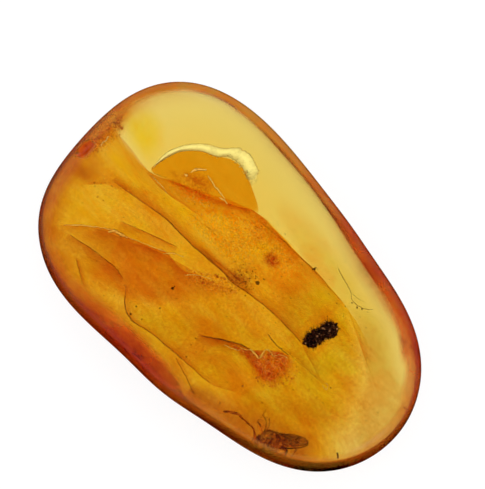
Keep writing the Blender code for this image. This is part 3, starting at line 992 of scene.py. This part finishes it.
def make_hairlines():
    shape = Shape()
    for number, (pixels, heights, radius) in enumerate(HAIRLINES.values()):
        line = smooth_path(seen_path(pixels, heights), HAIRLINE_STEPS)
        line = wobble(wobble(line, 0.05, 0.8, number), 0.03, 0.2, number)
        radii = radius * swelling(line, 0.7, 2.2) * taper(HAIRLINE_STEPS, 0.05)
        tube(shape, keep_inside(line), radii, sides=5, flat=0.6)
    dark = solid_material("seam_edge", (0.16, 0.045, 0.008), (0.42, 0.14, 0.02), 0.5, 900.0, alpha=0.62)
    add_piece("hairlines", shape, [dark])


# Light streaks: ridges of tiny bubbles along the seams, which catch the light. Each has its pixels, its
# height, its radius and how much of it is seen.

STREAKS = (
    (((64, 225), (73, 225), (98, 227), (112, 230)), 6.35, 0.05, 0.4),
    (((108, 232), (115, 231), (122, 235), (128, 238)), 6.4, 0.09, 0.8),
    (((127, 237), (153, 247), (167, 252)), 6.3, 0.045, 0.3),
    (((163, 254), (172, 253), (184, 257)), 6.3, 0.05, 0.4),
    (((184, 275), (197, 275), (212, 279)), 6.3, 0.05, 0.4),
    (((150, 175), (160, 184), (168, 194)), 6.9, 0.04, 0.3),
    (((190, 172), (197, 169.5), (207, 170)), 7.0, 0.07, 1.0),
    (((184, 174), (187.5, 175.5)), 7.0, 0.08, 1.0),
    (((208, 175), (214, 185), (219, 191), (225, 199)), 6.9, 0.055, 0.8),
    (((219, 198), (224, 200), (227, 204)), 6.9, 0.05, 0.8),
    (((240, 347), (246, 350), (251, 350), (255, 354), (259, 358), (266, 350), (270, 352), (273, 356),
      (278, 355)),
     6.35, 0.05, 0.7),
    (((224, 345), (232, 348), (240, 351)), 6.3, 0.04, 0.4),
    (((276, 356), (281, 355), (288, 358)), 6.3, 0.04, 0.5),
    (((322, 385), (326, 389), (328, 385), (325, 383)), 5.6, 0.03, 0.5),
    (((96, 141), (101, 137), (104, 131)), 7.2, 0.06, 0.8),
)
STREAK_BREADTH = 1.3
STREAK_FLATNESS = 0.12


def make_streaks():
    shape = Shape()
    for number, (pixels, height, radius, strength) in enumerate(STREAKS):
        count = 4 * len(pixels) + 10
        line = wobble(smooth_path(seen_path(pixels, height), count), 0.05, 0.25, number)
        radii = STREAK_BREADTH * radius * swelling(line, 0.9, 5.0) * taper(count, 0.06)
        tube(shape, keep_inside(line), radii, sides=6, flat=STREAK_FLATNESS, fades=[strength] * count)
    pale = film_material("streak_light", (1.0, 0.62, 0.18), 0.9, 0.4, 4500.0, 0.01, (0.3, 0.6))
    add_piece("light_streaks", shape, [pale])


# The spangle: a round stress crack. Its rim shows as a bright crescent and its face as a golden disc.

CRESCENT_OUTER = ((150, 172), (157, 162), (167, 152), (178, 147), (190, 144), (207, 144), (223, 148),
                  (240, 148), (252, 157), (258, 170), (256, 184))
CRESCENT_INNER = ((151, 171), (158, 164), (169, 157), (180, 152), (192, 151), (203, 152), (217, 157),
                  (228, 157), (240, 165), (246, 176), (251, 187))
DISC_PIXELS = ((152, 171), (159, 163), (170, 156), (183, 151), (203, 151), (217, 156), (232, 160),
               (244, 170), (252, 188), (258, 213, 0.1), (238, 214, 0.4), (207, 204, 0.4), (178, 190, 0.3))
SPANGLE_HEIGHT = 6.9
CRESCENT_ROWS = 10
CRESCENT_STEPS = 120
CRESCENT_SHARES = np.linspace(0, 1, CRESCENT_STEPS)
WHISKERS = 150
SHORTEST_WHISKER = 0.06
WHISKER_RADII = (0.02, 0.03, 0.03, 0.022, 0.014, 0.006)
WHISKER_FADES = (0.8, 0.8, 0.6, 0.4, 0.2, 0.05)


def make_disc():
    gold = veil_material("spangle_gold", (0.92, 0.68, 0.13), softness=0.15)
    add_lens("spangle_disc", (DISC_PIXELS, SPANGLE_HEIGHT - 0.5, 0.02), 0.12, 0.2, 40.0, gold)


def add_whiskers(shape, outer, inner, ends):
    """Short bright cracks across the crescent, longest at its bulging end."""
    for _ in range(WHISKERS):
        index = min(int(rng.betavariate(2.2, 0.9) * CRESCENT_STEPS), CRESCENT_STEPS - 1)
        reach = outer[index] - inner[index]
        start = inner[index] + reach * rng.uniform(-0.15, 0.8)
        length = rng.uniform(0.1, 0.4) * smoothstep(0.35, 0.95, CRESCENT_SHARES[index])
        if length < SHORTEST_WHISKER:
            continue
        sway = np.array((rng.uniform(-0.2, 0.2), rng.uniform(-0.2, 0.2), rng.uniform(-0.1, 0.1)))
        path = np.array([start + (unit(reach) + sway * t) * length * t for t in np.linspace(0, 1, 6)])
        tube(shape, keep_inside(path), WHISKER_RADII, 4, fades=ends[index] * np.array(WHISKER_FADES))


def make_crescent():
    outer = smooth_path(seen_path(CRESCENT_OUTER, SPANGLE_HEIGHT), CRESCENT_STEPS)
    inner = smooth_path(seen_path(CRESCENT_INNER, SPANGLE_HEIGHT), CRESCENT_STEPS)
    ragged = np.array([noise.noise(Vector((share * 38.0, 0.0, 3.0))) for share in CRESCENT_SHARES])
    ragged *= smoothstep(0.5, 1, CRESCENT_SHARES)
    rows = []
    for share in np.linspace(0, 1, CRESCENT_ROWS):
        row = inner + (outer - inner) * (share * (1 + 0.25 * ragged))[:, None]
        row[:, 2] += 0.05 * math.sin(share * math.pi) - 0.06 * (1 - share)
        rows.append(row)
    grid = keep_inside(np.array(rows).transpose(1, 0, 2))
    ends = smoothstep(0.0, 0.12, CRESCENT_SHARES) * (1 - smoothstep(0.86, 1.0, CRESCENT_SHARES))
    shape = Shape()
    sheet(shape, grid, FILM, np.outer(ends, taper(CRESCENT_ROWS, 0.02)))
    add_whiskers(shape, outer, inner, ends)
    light = film_material("spangle_light", (1.0, 0.92, 0.42), 0.92, 0.4, 1500.0, 0.008, (0.1, 0.5))
    add_piece("spangle_crescent", shape, [light])


# Grains: clouds of tiny bubbles and flakes. Each cloud has the pixels around it, its heights, how many
# grains it has, their size and their tone.

CLOUDS = {
    "gold_wedge": (((192, 214), (236, 216), (262, 226), (262, 252), (244, 268), (222, 262), (200, 240)),
                   (5.4, 6.5), 320, 0.034, 0),
    "gold_edge": (((246, 210), (266, 218), (278, 246), (290, 262), (276, 270), (254, 256)),
                   (5.4, 6.4), 130, 0.034, 1),
    "gold_crust": (((95, 116), (120, 118), (120, 136), (100, 152), (84, 156), (92, 136)),
                    (6.2, 7.2), 220, 0.042, 1),
    "red_ridge": (((182, 268), (206, 272), (236, 282), (238, 294), (210, 292), (190, 284)),
                   (5.6, 6.3), 220, 0.040, 2),
    "red_fracture": (((252, 356), (290, 358), (298, 372), (290, 386), (264, 388), (252, 376)),
                      (5.5, 6.3), 260, 0.042, 2),
    "red_rim": (((104, 116), (122, 114), (124, 128), (108, 134)), (6.0, 7.0), 130, 0.045, 2),
    "gold_left": (((92, 176), (124, 180), (136, 196), (112, 206), (88, 196)), (5.8, 6.8), 60, 0.035, 1),
    "brown_smoke": (((226, 264), (252, 262), (262, 282), (246, 296), (230, 292)),
                     (4.9, 6.0), 120, 0.034, 3),
    "dust": (((110, 140), (300, 230), (380, 330), (380, 420), (300, 440), (130, 330), (60, 240)),
              (2.5, 7.0), 260, 0.030, 3),
}
GRAIN_SIZE_SPREAD = 0.45
GRAIN_FLATNESS = (0.3, 0.9)


def inside_outline(outline):
    """A random place inside an outline, by fanning it from its middle."""
    outline = np.array(outline, float)
    index = rng.randrange(len(outline))
    one, two = outline[index], outline[(index + 1) % len(outline)]
    first, second = sorted((rng.random(), rng.random()))
    middle = outline.mean(axis=0)
    return middle * (1 - second) + one * (second - first) + two * first


def make_clouds():
    shape = Shape()
    for pixels, (low, high), count, size, tone in CLOUDS.values():
        for _ in range(count):
            place = seen_at(*inside_outline(pixels), rng.uniform(low, high))
            grain = size * rng.lognormvariate(0, GRAIN_SIZE_SPREAD)
            fleck(shape, keep_inside(place[None])[0], grain, rng.uniform(*GRAIN_FLATNESS), slot=tone)
    tones = [
        solid_material("grain_gold", (1.0, 0.42, 0.03), (1.0, 0.72, 0.12), 0.5, 2600.0, alpha=0.8),
        solid_material("grain_amber", (0.80, 0.22, 0.01), (1.0, 0.50, 0.04), 0.5, 2600.0, alpha=0.75),
        solid_material("grain_red", (0.55, 0.08, 0.01), (1.0, 0.36, 0.06), 0.5, 2600.0, alpha=0.75),
        solid_material("grain_brown", (0.06, 0.02, 0.008), (0.25, 0.09, 0.03), 0.6, 2000.0, alpha=0.7),
    ]
    add_piece("grains", shape, tones, sharp=30)


# Crumples: patches of fine crumpled cracks. Each has its outline in pixels, its height, its tone, how much of
# it is seen, how wide its soft border is and the size of its crumpling.

CRUMPLES = {
    "crumple_gold": (
        ((192, 210, 0.5), (232, 212), (262, 222), (268, 246), (252, 266), (226, 262), (202, 242),
         (186, 224)),
        6.1, (1.0, 0.56, 0.05), 0.85, 0.6, 4800.0,
    ),
    "crumple_edge": (
        ((244, 208), (264, 216), (284, 240), (298, 262), (288, 276), (266, 270), (250, 246)),
        5.9, (1.0, 0.48, 0.04), 0.578, 0.7, 4800.0,
    ),
    "crumple_root": (
        ((156, 176), (186, 178), (216, 192), (224, 212), (198, 208), (172, 196)),
        6.2, (1.0, 0.48, 0.05), 0.51, 0.7, 4800.0,
    ),
    "crumple_ridge": (
        ((182, 268), (206, 270), (236, 280), (244, 292), (228, 298), (206, 292), (188, 282)),
        6.0, (1.0, 0.44, 0.05), 0.612, 0.6, 4400.0,
    ),
    "crumple_crust": (
        ((90, 120), (108, 104), (126, 92), (138, 92), (132, 112), (122, 136), (106, 154), (88, 158)),
        6.6, (1.0, 0.40, 0.02), 0.85, 0.7, 4400.0,
    ),
    "crumple_fracture": (
        ((228, 343, 0.3), (250, 351, 0.2), (262, 354, 0.2), (272, 350, 0.2), (292, 357, 0.4), (296, 366),
         (286, 376), (272, 388), (262, 382), (250, 366), (240, 354)),
        6.0, (1.0, 0.36, 0.10), 0.51, 0.8, 3400.0,
    ),
}
CRUMPLE_THICKNESS = (0.10, 0.12)
CRUMPLE_WAVES = (0.15, 0.6)


def make_crumples():
    for number, (name, (pixels, height, colour, strength, soft, grain)) in enumerate(CRUMPLES.items()):
        film = film_material(name, colour, strength, 0.5, grain, 0.01, (0.49, 0.60), 0.0)
        place = (pixels, height, soft)
        add_lens(name, place, *CRUMPLE_THICKNESS, 20.0 + number, film, (*CRUMPLE_WAVES, number))


# The red stain of the fracture under the clump

STAIN_PIXELS = ((226, 342, 0.3), (250, 350, 0.1), (270, 349, 0.1), (292, 355, 0.3), (298, 366),
                (288, 380), (276, 392), (262, 386), (250, 372), (240, 358))


def make_fracture():
    red = veil_material("fracture_stain", (0.80, 0.34, 0.45), softness=0.8, grit=1.2)
    add_lens("fracture_stain", (STAIN_PIXELS, 5.7, 0.6), 0.2, 0.2, 31.0, red, (*CRUMPLE_WAVES, 3.0))


# Haze: two wide, nearly level films, which give the darker resin its streaks and clouds. Each has its height,
# its strength, its tint and the grain of its streaks. It is thinner in round clearings, given by a pixel and
# a radius.

HAZE = {
    "haze_upper": (5.2, 0.9167, (0.96, 0.86, 0.78), (260.0, 900.0, 900.0)),
    "haze_lower": (2.9, 1.0, (0.94, 0.84, 0.72), (190.0, 520.0, 520.0)),
}
HAZE_LINE_PIXELS = ((150, 174), (344, 303))
HAZE_CLEARINGS = (((92, 200), 1.8), ((178, 240), 1.4), ((218, 236), 1.6))
HAZE_CLEARING_DEPTH = 0.6
HAZE_END_COLUMNS = (350.0, 388.0)
HAZE_REACH = 0.975
HAZE_STEPS = 90
HAZE_ROWS = 40


def make_haze():
    first, last = seen_path(HAZE_LINE_PIXELS, 5.0)
    way = unit((last - first)[:2])
    turns = np.arange(HAZE_STEPS) / HAZE_STEPS * math.tau
    directions = np.column_stack((np.cos(turns), np.sin(turns)))
    rim = around(RIM_RADII, turns)
    clearings = [(seen_at(*pixel, 4.5), radius) for pixel, radius in HAZE_CLEARINGS]
    lift = np.array((0.0, 0.0, FILM / 2))
    for number, (name, (height, strength, tint, scale)) in enumerate(HAZE.items()):
        rows, fades = [], []
        for share in np.linspace(0.02, 1, HAZE_ROWS):
            flat = directions * (rim * share * HAZE_REACH)[:, None] - STONE_MIDDLE[:2]
            rise = [0.5 * noise.noise(Vector((x * 0.28, y * 0.55, number * 5.0))) for x, y in flat]
            rows.append(np.column_stack((flat, height + np.array(rise))))
            border = (flat - first[:2]) @ np.array((way[1], -way[0]))
            fade = smoothstep(-0.4, 1.2, border) * (1 - smoothstep(0.95, 1.0, share)) * strength
            column = STONE_COLUMN + flat @ CAMERA_RIGHT[:2] / PIXEL
            fade *= 1 - smoothstep(*HAZE_END_COLUMNS, column)
            for clearing, radius in clearings:
                far = np.linalg.norm(flat - clearing[:2], axis=1)
                fade *= 1 - HAZE_CLEARING_DEPTH * np.exp(-(far / radius) ** 2)
            fades.append(fade)
        rings = [keep_inside(row + lift, HAZE_REACH) for row in rows]
        rings += [keep_inside(row - lift, HAZE_REACH) for row in reversed(rows)]
        shape = Shape()
        loft(shape, rings, fades=fades + fades[::-1])
        add_piece(name, shape, [veil_material(name, tint, scale, 1.0, grit=0.5)])


# Specks of soil and plant: column and row in the photo, height and size

SPECKS = (
    (173, 288, 5.8, 0.11), (174.5, 286.5, 5.8, 0.06), (314, 269, 5.9, 0.12), (316.5, 267.5, 5.9, 0.06),
    (402, 352, 5.6, 0.06), (338, 456, 5.0, 0.09), (403, 407, 5.0, 0.06), (352, 303, 6.2, 0.07),
    (357, 307, 6.2, 0.08), (362, 309, 6.2, 0.07), (368, 312, 6.2, 0.05), (366, 328, 6.0, 0.05),
    (360, 317, 6.1, 0.04), (95, 186, 6.3, 0.06), (101, 184, 6.3, 0.05), (112, 186, 6.3, 0.05),
    (264, 279, 5.8, 0.07), (220, 403, 5.8, 0.05), (345, 262, 6.0, 0.04), (205, 352, 5.4, 0.05),
    (196, 352, 5.4, 0.04), (211, 360, 5.4, 0.04), (342, 384, 5.2, 0.04), (120, 96, 5.0, 0.08),
)
SPECK_LUMPS = 3
SPECK_FORM = (1.0, 0.7, 0.5)


def make_specks():
    shape = Shape()
    for column, row, height, size in SPECKS:
        centre = keep_inside(seen_at(column, row, height)[None])[0]
        for _ in range(SPECK_LUMPS):
            shift = np.array([rng.uniform(-0.5, 0.5) * size for _ in range(3)])
            radii = np.array(SPECK_FORM) * size * rng.uniform(0.5, 0.9)
            ball(shape, centre + shift, radii, random_turn(), 0.5, 2.5, slices=8)
    soil = solid_material("speck", (0.02, 0.008, 0.004), (0.12, 0.04, 0.015), 0.7, 3000.0)
    add_piece("specks", shape, [soil])


# The bark debris

DEBRIS_LUMPS = (
    ((5.98, 0.96, 5.75), (0.44, 0.52, 0.36)),
    ((6.28, 2.06, 5.80), (0.44, 0.50, 0.34)),
    ((6.10, 1.46, 5.74), (0.30, 0.44, 0.28)),
)
DEBRIS_CRUMBS = 460
CRUMB_SIZES = (0.03, 0.09)
DEBRIS_FIBRES = 640
FIBRE_LENGTHS = (0.12, 0.42)
FIBRE_RADII = (0.012, 0.030)
FIBRE_TAPER = (1.0, 0.9, 0.8, 0.6, 0.45, 0.2)


def make_debris():
    shape = Shape()
    for centre, radii in DEBRIS_LUMPS:
        ball(shape, np.array(centre), np.array(radii), None, 0.85, 2.9, slices=44)
    low, high = (np.array(corner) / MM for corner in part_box("bark_debris"))
    for _ in range(DEBRIS_CRUMBS):
        centre, radii = rng.choice(DEBRIS_LUMPS)
        way = unit(random_vector())
        place = np.array(centre) + way * radii * rng.uniform(0.8, 1.5)
        if (place > low).all() and (place < high).all():
            size = rng.uniform(*CRUMB_SIZES)
            flatness = rng.uniform(0.4, 0.9)
            fleck(shape, place, size, flatness, slot=rng.choice((0, 0, 1, 2)))
    for _ in range(DEBRIS_FIBRES):
        centre, radii = rng.choice(DEBRIS_LUMPS)
        way = unit(random_vector())
        foot = np.array(centre) + way * radii * 0.7
        bend = random_vector()
        length = rng.uniform(*FIBRE_LENGTHS)
        path = [foot + way * (t * length + 0.1 * t) + bend * 0.09 * t * t for t in np.linspace(0, 1, 6)]
        path = np.clip(path, low, high)
        radii = np.array(FIBRE_TAPER) * rng.uniform(*FIBRE_RADII)
        tube(shape, path, radii, 4, slot=rng.choice((0, 1)))
    dark = solid_material("bark_dark", (0.010, 0.003, 0.004), (0.050, 0.014, 0.014), 0.85, 1800.0, bump=0.05)
    crumb = solid_material("bark_crumb", (0.07, 0.02, 0.012), (0.26, 0.09, 0.05), 0.8, 2600.0, alpha=0.9)
    chaff = solid_material("bark_chaff", (0.30, 0.14, 0.12), (0.75, 0.48, 0.44), 0.8, 2600.0)
    debris = add_piece("debris", shape, [dark, crumb, chaff], sharp=50)
    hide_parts("bark_debris")


# The gnat, in its own axes: forward, dorsal, sideways

GNAT_CENTRE = (9.30, -4.80, 5.75)
GNAT_HEADING = math.radians(217.5)
GNAT_LEGS = (
    ((1.15, -0.15, 0.12), (1.65, 0.21, 0.20), (1.92, 0.54, 0.20), (2.34, 0.78, 0.15), (2.74, 1.02, 0.10),
     (3.00, 1.18, 0.05), (3.45, 1.27, 0.02), (3.92, 1.30, 0.0)),
    ((1.15, -0.12, -0.12), (1.50, 0.55, -0.20), (1.76, 0.87, -0.15), (1.46, 0.98, -0.10)),
    ((0.80, -0.25, 0.15), (1.42, -0.34, 0.30), (1.86, -0.16, 0.26)),
    ((0.80, -0.25, -0.15), (1.02, -0.46, -0.26), (0.48, -0.46, -0.24), (0.22, -0.46, -0.20)),
    ((0.50, -0.20, 0.12), (-0.41, -0.36, 0.26), (0.0, -0.70, 0.22), (0.10, -0.74, 0.18)),
    ((0.45, -0.20, -0.12), (-0.86, -0.38, -0.24), (-0.66, -0.72, -0.20), (-0.36, -0.80, -0.14)),
)
LEG_RADIUS = 0.030
LEG_HAIR_RADII = (0.006, 0.005, 0.004, 0.002)
FEELER_HAIR_RADII = (0.005, 0.004, 0.003, 0.002)
BACK_HAIR_RADII = (0.010, 0.008, 0.006, 0.003)
BACK_HAIRS = 420
BACK_PROFILE = ((-1.08, -0.35, 0.4, 0.98, 1.4), (0.07, 0.2, 0.27, 0.36, 0.16))
STRETCHED_SWELLINGS = (1.7, 1.6, 1.3, 1.5, 1.5, 2.2, 2.4, 1.3)
GNAT_FEELERS = (
    ((1.42, 0.08, 0.08), (1.20, 0.52, 0.14), (1.28, 1.06, 0.12), (1.50, 1.25, 0.08), (1.38, 1.62, 0.04)),
    ((1.42, 0.08, -0.08), (1.02, 0.58, -0.12), (1.08, 1.12, -0.08)),
)
ABDOMEN_LINE = ((0.72, -0.02), (0.40, -0.03), (0.05, -0.06), (-0.35, -0.08), (-0.75, -0.07), (-1.08, -0.05))
ABDOMEN_RADII = (0.26, 0.33, 0.30, 0.22, 0.15, 0.09)
ABDOMEN_SEGMENTS = 8
ABDOMEN_RINGS = 64
ABDOMEN_SIDES = 28


def gnat_place(points):
    """From the gnat's own axes to the part's."""
    forward = np.array((math.cos(GNAT_HEADING), math.sin(GNAT_HEADING), 0.0))
    dorsal = np.array((math.sin(GNAT_HEADING), -math.cos(GNAT_HEADING), 0.0))
    turn = np.array((forward, dorsal, np.cross(forward, dorsal)))
    return np.array(points, float) @ turn + GNAT_CENTRE


def abdomen(shape):
    line = smooth_path([(x, y, 0.0) for x, y in ABDOMEN_LINE], ABDOMEN_RINGS)
    radii = smooth_path([(radius, 0.0, 0.0) for radius in ABDOMEN_RADII], ABDOMEN_RINGS)[:, 0]
    turns = np.arange(ABDOMEN_SIDES) / ABDOMEN_SIDES * math.tau
    rings = []
    for index, (middle, radius) in enumerate(zip(line, radii)):
        place = index / (ABDOMEN_RINGS - 1) * ABDOMEN_SEGMENTS
        step = place - math.floor(place)
        radius = radius * (0.90 + 0.12 * math.sin(min(1, step * 1.25) * math.pi) ** 0.7 + 0.05 * step)
        ring = np.column_stack((turns * 0, radius * np.cos(turns), radius * 0.9 * np.sin(turns)))
        rings.append(gnat_place(wobble(ring + middle, 0.018, 0.12, 2.0)))
    loft(shape, rings, slot=1)


def gnat_body(shape):
    turn = np.array(Matrix.Rotation(GNAT_HEADING, 3, "Z"))
    balls = (
        ((0.98, 0.12, 0.0), (0.48, 0.32, 0.28), 0.06, 0),
        ((0.66, 0.16, 0.0), (0.26, 0.22, 0.20), 0.10, 1),
        ((0.98, -0.18, 0.0), (0.40, 0.24, 0.24), 0.20, 1),
        ((1.20, -0.34, 0.0), (0.20, 0.18, 0.18), 0.25, 1),
        ((0.88, -0.38, 0.0), (0.22, 0.18, 0.18), 0.25, 1),
        ((0.56, -0.24, 0.0), (0.20, 0.16, 0.16), 0.25, 1),
        ((1.45, -0.02, 0.0), (0.17, 0.17, 0.15), 0.06, 1),
        ((1.47, 0.04, 0.11), (0.11, 0.12, 0.09), 0.02, 2),
        ((1.47, 0.04, -0.11), (0.11, 0.12, 0.09), 0.02, 2),
        ((1.55, -0.18, 0.0), (0.05, 0.10, 0.05), 0.2, 1),
        ((1.50, 0.15, 0.06), (0.05, 0.05, 0.05), 0.0, 1),
        ((1.50, 0.15, -0.06), (0.05, 0.05, 0.05), 0.0, 1),
    )
    for centre, radii, roughness, slot in balls:
        ball(shape, gnat_place(centre), np.array(radii), turn, roughness, 4.0, slices=26, slot=slot)
    ridge = [gnat_place((1.36 - 0.86 * t, 0.06 + 0.36 * math.sin((0.12 + 0.8 * t) * math.pi), 0.0))
             for t in np.linspace(0, 1, 20)]
    tube(shape, ridge, 0.055, 8, slot=2)


def hair(shape, foot, way, radii, droop=(0.0, 0.0, 0.0)):
    """A bristle in the gnat's own axes, from its foot along a way, which may droop."""
    path = [foot + way * t + np.array(droop) * t * t for t in np.linspace(0, 1, 4)]
    tube(shape, gnat_place(path), radii, 3, slot=2)


def gnat_limbs(shape):
    for number, points in enumerate(GNAT_LEGS):
        count = 8 * len(points)
        path = smooth_path(points, count)
        swellings = STRETCHED_SWELLINGS if number == 0 else np.linspace(1.7, 0.7, len(points))
        swell = np.interp(np.linspace(0, 1, count), np.linspace(0, 1, len(points)), swellings)
        tube(shape, gnat_place(wobble(path, 0.012, 0.2, number)), LEG_RADIUS * swell, 7, slot=1)
        for index in range(3, count - 1, 2):
            hair(shape, path[index], unit(random_vector()) * 0.09, LEG_HAIR_RADII)
    for points in GNAT_FEELERS:
        count = 14 * len(points)
        path = smooth_path(points, count)
        beads = 0.017 * (1 + 0.35 * np.sin(np.arange(count) * 1.6)) * np.linspace(1.2, 0.5, count)
        tube(shape, gnat_place(path), beads, 6, slot=2)
        for index in np.repeat(range(2, count, 2), 2):
            hair(shape, path[index], unit(random_vector()) * 0.13, FEELER_HAIR_RADII)


def gnat_hairs(shape):
    """Bristles along the back and over the abdomen."""
    for _ in range(BACK_HAIRS):
        x = rng.uniform(-1.0, 1.3)
        turn = rng.gauss(math.pi / 2, 0.9)
        radius = np.interp(x, *BACK_PROFILE)
        side = math.cos(turn)
        foot = np.array((x, radius * math.sin(turn), radius * 0.85 * side))
        way = unit(np.array((-0.7 + rng.gauss(0, 0.3), math.sin(turn), side)))
        hair(shape, foot, way * rng.uniform(0.08, 0.26), BACK_HAIR_RADII, droop=(-0.04, 0.0, 0.0))


WING_ROOT = 0.92
WING_TIP = -1.62
WING_ROWS = 44
WING_COLUMNS = 14
# Where a vein lies from the front edge to the rear, and its radius
WING_VEINS = ((0.02, 0.024), (0.22, 0.012), (0.42, 0.012), (0.60, 0.012), (0.78, 0.012), (0.98, 0.024))
WING_CROSS_VEINS = (0.25, 0.45, 0.62)


def wing_point(share, across, side):
    """A point of a wing: share runs from its root to its tip and across from its front edge to its rear."""
    breadth = 0.33 * (0.35 + 0.65 * math.sin(math.pi * min(1.0, 0.12 + 0.80 * share)))
    breadth *= math.sqrt(max(0.0, 1 - max(0.0, (share - 0.72) / 0.28) ** 2.2))
    lean = 0.16 + 0.09 * share
    ripple = 0.012 * math.sin(across * 9 + share * 4)
    along = WING_ROOT + (WING_TIP - WING_ROOT) * share
    return along, 0.02 - breadth + 2 * breadth * across, side * (lean + ripple)


def gnat_wings(shape):
    shares = np.linspace(0.0, 0.985, WING_ROWS)
    places = np.linspace(0, 1, WING_COLUMNS)
    for side in (1, -1):
        grid = [wing_point(share, across, side) for share in shares for across in places]
        sheet(shape, gnat_place(grid).reshape(WING_ROWS, WING_COLUMNS, 3), 0.012, slot=3)
        for across, radius in WING_VEINS:
            spread = 0.5 + (across - 0.5) * np.minimum(1, 0.2 + 1.6 * shares)
            path = [wing_point(share, place, side) for share, place in zip(shares, spread)]
            tube(shape, gnat_place(path), radius, 5, slot=2)
        for share in WING_CROSS_VEINS:
            path = [wing_point(share + 0.06 * across, across, side) for across in np.linspace(0.2, 0.8, 8)]
            tube(shape, gnat_place(path), 0.007, 4, slot=2)


GNAT_SKINS = {
    "gnat_pale": ((0.60, 0.16, 0.02), (0.95, 0.42, 0.06), 0.5, 2600.0, 0.40),
    "gnat_brown": ((0.20, 0.024, 0.003), (0.78, 0.20, 0.02), 0.5, 3600.0, 0.85, 0.0, (0.42, 0.60)),
    "gnat_dark": ((0.09, 0.016, 0.004), (0.30, 0.06, 0.012), 0.5, 3200.0, 0.92),
    "gnat_wing": ((0.55, 0.14, 0.02), (0.85, 0.34, 0.06), 0.3, 1800.0, 0.14),
}


def make_gnat():
    shape = Shape()
    for add_part in (gnat_body, abdomen, gnat_limbs, gnat_hairs, gnat_wings):
        add_part(shape)
    skins = [solid_material(name, *look) for name, look in GNAT_SKINS.items()]
    gnat = add_piece("gnat_in_amber", shape, skins, sharp=50)
    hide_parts("gnat")


# The studio

FLOOR_SIZE = 2.0
FLOOR_GAP = 0.03
FLOOR_GLOW = 0.84
FLOOR_GREY = 0.16
OPEN_SKY = ((0.0, 0.0), (0.5, 0.75), (0.65, 0.95), (1.0, 1.8))
GLOSS_SKY = ((0.0, 0.0), (0.12, 0.01), (0.32, 0.22), (0.5, 0.16), (0.62, 0.08), (0.9, 0.05), (1.0, 0.02))
# Soft windows that gloss mirrors: turn from the picture's right, rise, core and edge angles, strength
WINDOWS = (
    (142.0, 20.0, 6.0, 26.0, 0.2),
    (78.0, 20.0, 4.0, 22.0, 0.6),
    (-50.0, 14.0, 4.0, 20.0, 0.6),
)


def make_floor():
    bpy.ops.mesh.primitive_plane_add(size=FLOOR_SIZE, location=(0, 0, -FLOOR_GAP * MM))
    floor = bpy.context.object
    floor.name = "floor"
    nodes = new_material("floor")
    nodes.set(Roughness=0.9, Specular_IOR_Level=0.0)
    nodes.set(Base_Color=(FLOOR_GREY, FLOOR_GREY, FLOOR_GREY, 1.0))
    nodes.set(Emission_Color=(1.0, 1.0, 1.0, 1.0), Emission_Strength=FLOOR_GLOW)
    floor.data.materials.append(nodes.owner)
    floor.visible_glossy = False


def make_world():
    world = bpy.data.worlds.new("studio")
    bpy.context.scene.world = world
    nodes = Nodes(world)
    place = nodes.node("TexCoord").outputs["Generated"]
    level = nodes.maths("MULTIPLY_ADD", nodes.height(place), 0.5, 0.5)
    gloss = nodes.ramp(level, GLOSS_SKY, "EASE")
    for turn, rise, core, edge, strength in WINDOWS:
        turn, rise = CAMERA_AZIMUTH + math.radians(turn), math.radians(rise)
        aim = (math.cos(turn) * math.cos(rise), math.sin(turn) * math.cos(rise), math.sin(rise))
        facing = nodes.maths("DOT_PRODUCT", place, aim, kind="VectorMath")
        stops = [(math.cos(math.radians(edge)), 0.0), (math.cos(math.radians(core)), 1.0)]
        window = nodes.ramp(facing, stops, "EASE")
        gloss = nodes.maths("MULTIPLY_ADD", window, (strength,) * 3, gloss, kind="VectorMath")
    path = nodes.node("LightPath")
    mirrored = nodes.times(path.outputs["Is Reflection Ray"], path.outputs["Is Glossy Ray"])
    sky = nodes.mix(mirrored, nodes.ramp(level, OPEN_SKY, "EASE"), gloss)
    nodes.link(sky, nodes.tree.nodes["Background"].inputs["Color"])


def set_light_paths():
    scene = bpy.context.scene
    scene.view_settings.view_transform = "Standard"
    scene.cycles.max_bounces = 48
    scene.cycles.transmission_bounces = 48
    scene.cycles.transparent_max_bounces = 256
    scene.cycles.diffuse_bounces = 4


make_camera()
STONE_TREE, STONE_MIDDLE = make_amber()
make_flows()
make_skin()
make_haze()
make_seams()
make_hairlines()
make_streaks()
make_disc()
make_crescent()
make_clouds()
make_crumples()
make_fracture()
make_specks()
make_debris()
make_gnat()
make_floor()
make_world()
set_light_paths()
